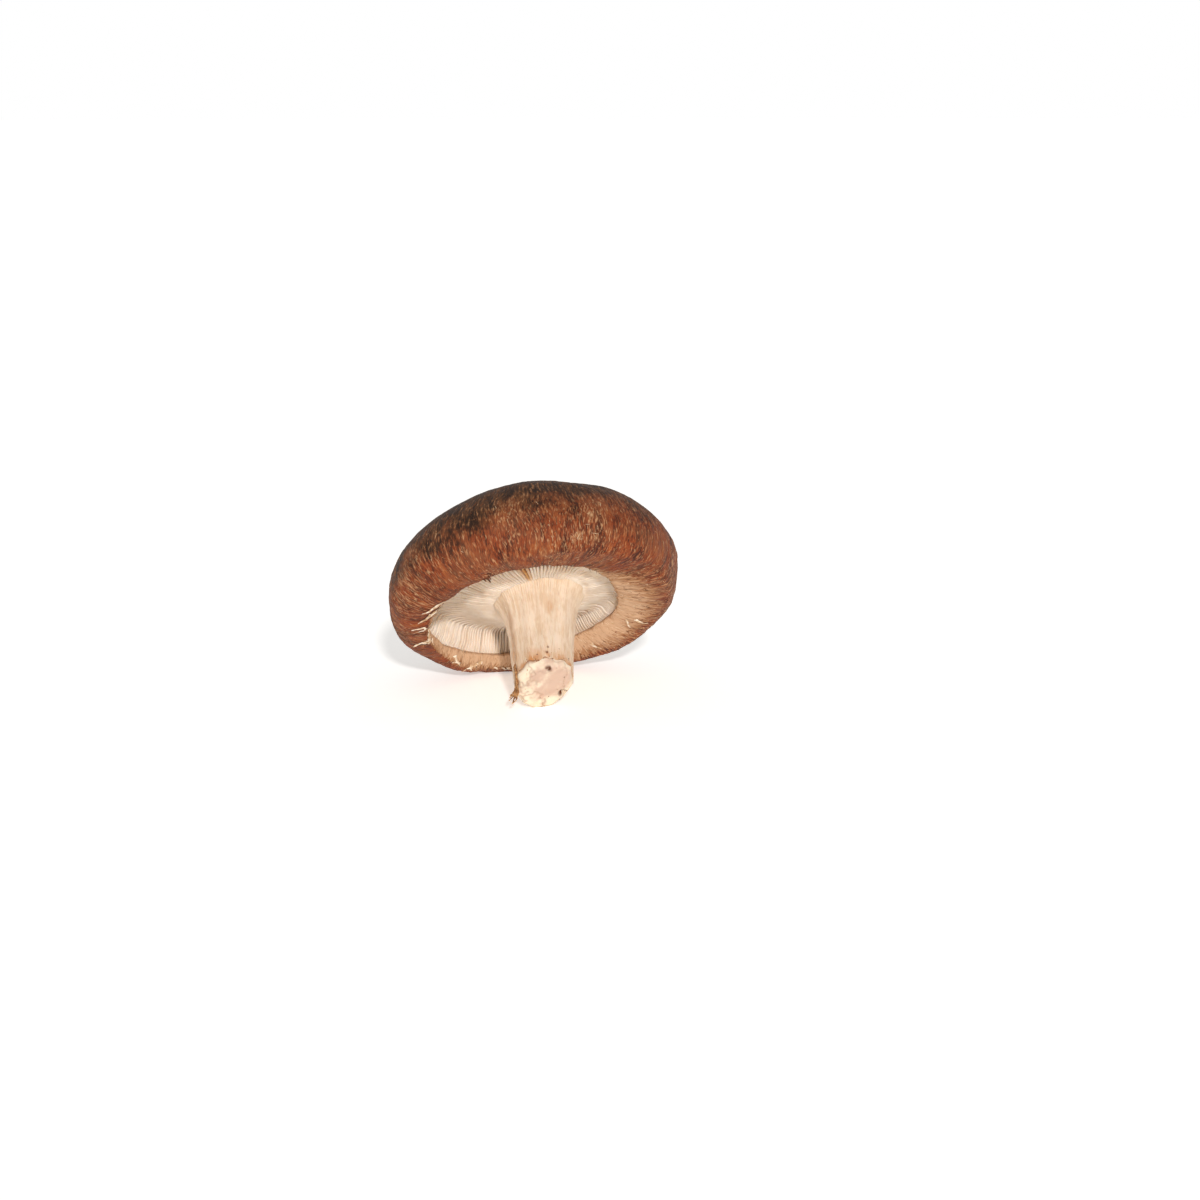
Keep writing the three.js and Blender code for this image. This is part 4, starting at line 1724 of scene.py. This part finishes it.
@dataclass(frozen=True)
class Camera:
    """The photograph's view, worked out from where the growing axis and the silhouette stand in its frame."""

    frame_pixels: float = 1200.0
    axis_pixel: tuple[float, float] = (533.0, 588.0)
    pixel_size: float = 0.249 * MM
    distance: float = 0.6
    elevation: float = math.radians(13)
    sensor: float = 36.0

    def build(self, subject: Vector) -> None:
        """Places the camera in front of a point and turns it until that point stands at its pixel."""
        ahead = Vector((0.0, math.cos(self.elevation), -math.sin(self.elevation)))
        right = Vector((1.0, 0.0, 0.0))
        up = right.cross(ahead)
        middle = self.frame_pixels / 2
        aside = (middle - self.axis_pixel[0]) * self.pixel_size
        under = (middle - self.axis_pixel[1]) * self.pixel_size
        eye = subject - ahead * self.distance
        aim = subject + right * aside - up * under
        data = bpy.data.cameras.new("camera")
        data.sensor_width = self.sensor
        data.lens = self.sensor / 2 * self.distance / (middle * self.pixel_size)
        data.clip_start, data.clip_end = 0.01, 20.0
        camera = bpy.data.objects.new("camera", data)
        camera.location = eye
        camera.rotation_mode = "QUATERNION"
        camera.rotation_quaternion = (aim - eye).to_track_quat("-Z", "Y")
        bpy.context.scene.collection.objects.link(camera)
        bpy.context.scene.camera = camera


@dataclass(frozen=True)
class Studio:
    """A white floor, one lamp a little above and right of the lens, and pale light from all round."""

    floor_size: float = 8.0
    lamp_azimuth: float = math.radians(6)
    lamp_elevation: float = math.radians(25)
    lamp_spread: float = math.radians(4)
    lamp_power: float = 2.2
    sky: float = 0.42

    def build(self, subject: Vector, material: bpy.types.Material) -> None:
        """Makes the floor, the lamp and the sky."""
        half = self.floor_size / 2
        corners = np.array([(-half, -half, 0), (half, -half, 0), (half, half, 0), (-half, half, 0)])
        floor = make_mesh("floor", corners, {"faces": [(0, 1, 2, 3)]}, {})
        floor.data.materials.append(material)
        data = bpy.data.lights.new("key", "SUN")
        data.angle, data.energy = self.lamp_spread, self.lamp_power
        lamp = bpy.data.objects.new("key", data)
        level = math.cos(self.lamp_elevation)
        aside, near = math.sin(self.lamp_azimuth) * level, -math.cos(self.lamp_azimuth) * level
        way = Vector((aside, near, math.sin(self.lamp_elevation)))
        lamp.location = subject + way
        lamp.rotation_mode = "QUATERNION"
        lamp.rotation_quaternion = (-way).to_track_quat("-Z", "Y")
        bpy.context.scene.collection.objects.link(lamp)
        world = bpy.data.worlds.new("sky")
        world.use_nodes = True
        tree = world.node_tree
        tree.nodes.clear()
        seen = add_node(tree, "ShaderNodeLightPath").outputs["Is Camera Ray"]
        glow = add_node(tree, "ShaderNodeMapRange", {"Value": seen, "To Min": self.sky, "To Max": 1.0})
        white = {"Color": (1.0, 1.0, 1.0, 1.0), "Strength": glow.outputs[0]}
        sky = add_node(tree, "ShaderNodeBackground", white)
        add_node(tree, "ShaderNodeOutputWorld", {"Surface": sky.outputs[0]})
        bpy.context.scene.world = world
        bpy.context.scene.view_settings.view_transform = "Standard"


@dataclass(frozen=True)
class Nap:
    """One kind of loose fibre on a piece.

    Its sizes are in millimetres, and its density is in fibres to a square millimetre.
    """

    name: str
    slot: Slot
    ground: str
    cover: str
    finish: Fibril
    density: float
    shortest: float
    longest: float
    width: float
    lift: float
    stray: float
    seed: int = 1

    def sizes(self) -> dict[str, float | int]:
        """What a grower of fibres takes, in metres."""
        return {
            "Density": self.density / MM ** 2,
            "Shortest": self.shortest * MM,
            "Longest": self.longest * MM,
            "Width": self.width * MM,
            "Lift": self.lift,
            "Stray": self.stray,
            "Seed": self.seed,
        }


NAPS = (
    Nap(
        "cap_fibrils", Slot.CAP_SKIN, "cap", "skin_cover", Fibril(),
        density=1.1, shortest=0.8, longest=2.4, width=0.12, lift=0.12, stray=0.25,
    ),
    Nap(
        "cap_felt", Slot.CAP_SKIN, "cap", "felt_cover",
        Fibril("pale_felt_fibres", "#A06A44", "#C79A6E", "#E4C9A4", 0.3),
        density=7.0, shortest=0.5, longest=1.6, width=0.1, lift=0.25, stray=0.9,
    ),
    Nap(
        "cap_fuzz", Slot.CAP_SKIN, "cap", "skin_cover", Fibril(),
        density=0.5, shortest=0.4, longest=1.1, width=0.1, lift=0.6, stray=0.9, seed=6,
    ),
    Nap(
        "margin_fibres", Slot.MARGIN_FLESH, "cap", "margin_cover",
        Fibril("margin_flesh_fibres", "#9C6A42", "#C69B6D", "#E8D2B0", 0.3),
        density=1.6, shortest=0.6, longest=2.0, width=0.1, lift=0.2, stray=0.5,
    ),
    Nap(
        "stem_fibres", Slot.STEM_FLESH, "stem", "fibre_cover",
        Fibril("stem_fibres", "#D3AE86", "#E8CFAF", "#F4E5CE", 0.3),
        density=0.8, shortest=1.0, longest=4.0, width=0.11, lift=0.1, stray=0.1,
    ),
)


def settle(piece: bpy.types.Object, slot: Slot) -> bpy.types.Object:
    """Presses a finished piece flat on the surface, ties it to the mushroom's body and reports it."""
    piece.data.vertices.foreach_set("co", bedded(place_of(piece)).ravel())
    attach(piece, "root")
    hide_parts("shiitake")
    log.info("%s: %d faces", piece.name, len(piece.data.polygons))
    return piece


def main() -> None:
    """Builds the mushroom, its light and its camera."""
    logging.basicConfig(level=logging.INFO, format="%(message)s")
    form = Form()
    subject = Vector(form.rest) * MM
    Camera().build(subject)
    Studio().build(subject, PaleFloor().build())

    blades, crumbs = PlateGrower(), CrumbGrower()
    cap_maker, stem_maker = Cap(form), Stem(form)
    grounds = {"cap": settle(cap_maker.build(Cuticle().build()), Slot.CAP_SKIN)}
    settle(Gills(form).build(blades, GillFlesh().build()), Slot.GILLS)
    grounds["stem"] = settle(stem_maker.build(StemFlesh().build()), Slot.STEM_FLESH)
    end = settle(stem_maker.build_end(CutFlesh().build()), Slot.CUT_FOOT)

    finishes = {finish: finish.build() for finish in dict.fromkeys(nap.finish for nap in NAPS)}
    growers = {cover: FibreGrower(cover) for cover in dict.fromkeys(nap.cover for nap in NAPS)}
    for nap in NAPS:
        fibres = growers[nap.cover].grow(grounds[nap.ground], nap.name, finishes[nap.finish], nap.sizes())
        settle(fibres, nap.slot)

    veil = Scrap("papery_veil_shreds", "#F1E1CA", "#C9A37A").build()
    bark = Scrap("browned_stem_skin", "#CC9A66", "#83522E").build()
    soil = Scrap("growing_substrate_crumbs", "#A87348", "#4E2D1A").build()
    tag = Scrap("dark_margin_tag", "#6E3F22", "#3A1E10").build()
    settle(Shreds(cap_maker).build(blades, veil), Slot.MARGIN_FLESH)
    settle(FootStrand(form).build(blades, bark), Slot.STEM_FLESH)
    settle(MarginNick(cap_maker).build(blades, tag), Slot.CAP_SKIN)
    settle(crumbs.grow(end, "foot_crumbs", soil, {"Density": 7e5}), Slot.CUT_FOOT)
    settle(crumbs.grow(grounds["stem"], "stem_crumbs", soil, {"Density": 4e5, "Seed": 4}), Slot.STEM_FLESH)


if __name__ == "__main__":
    main()
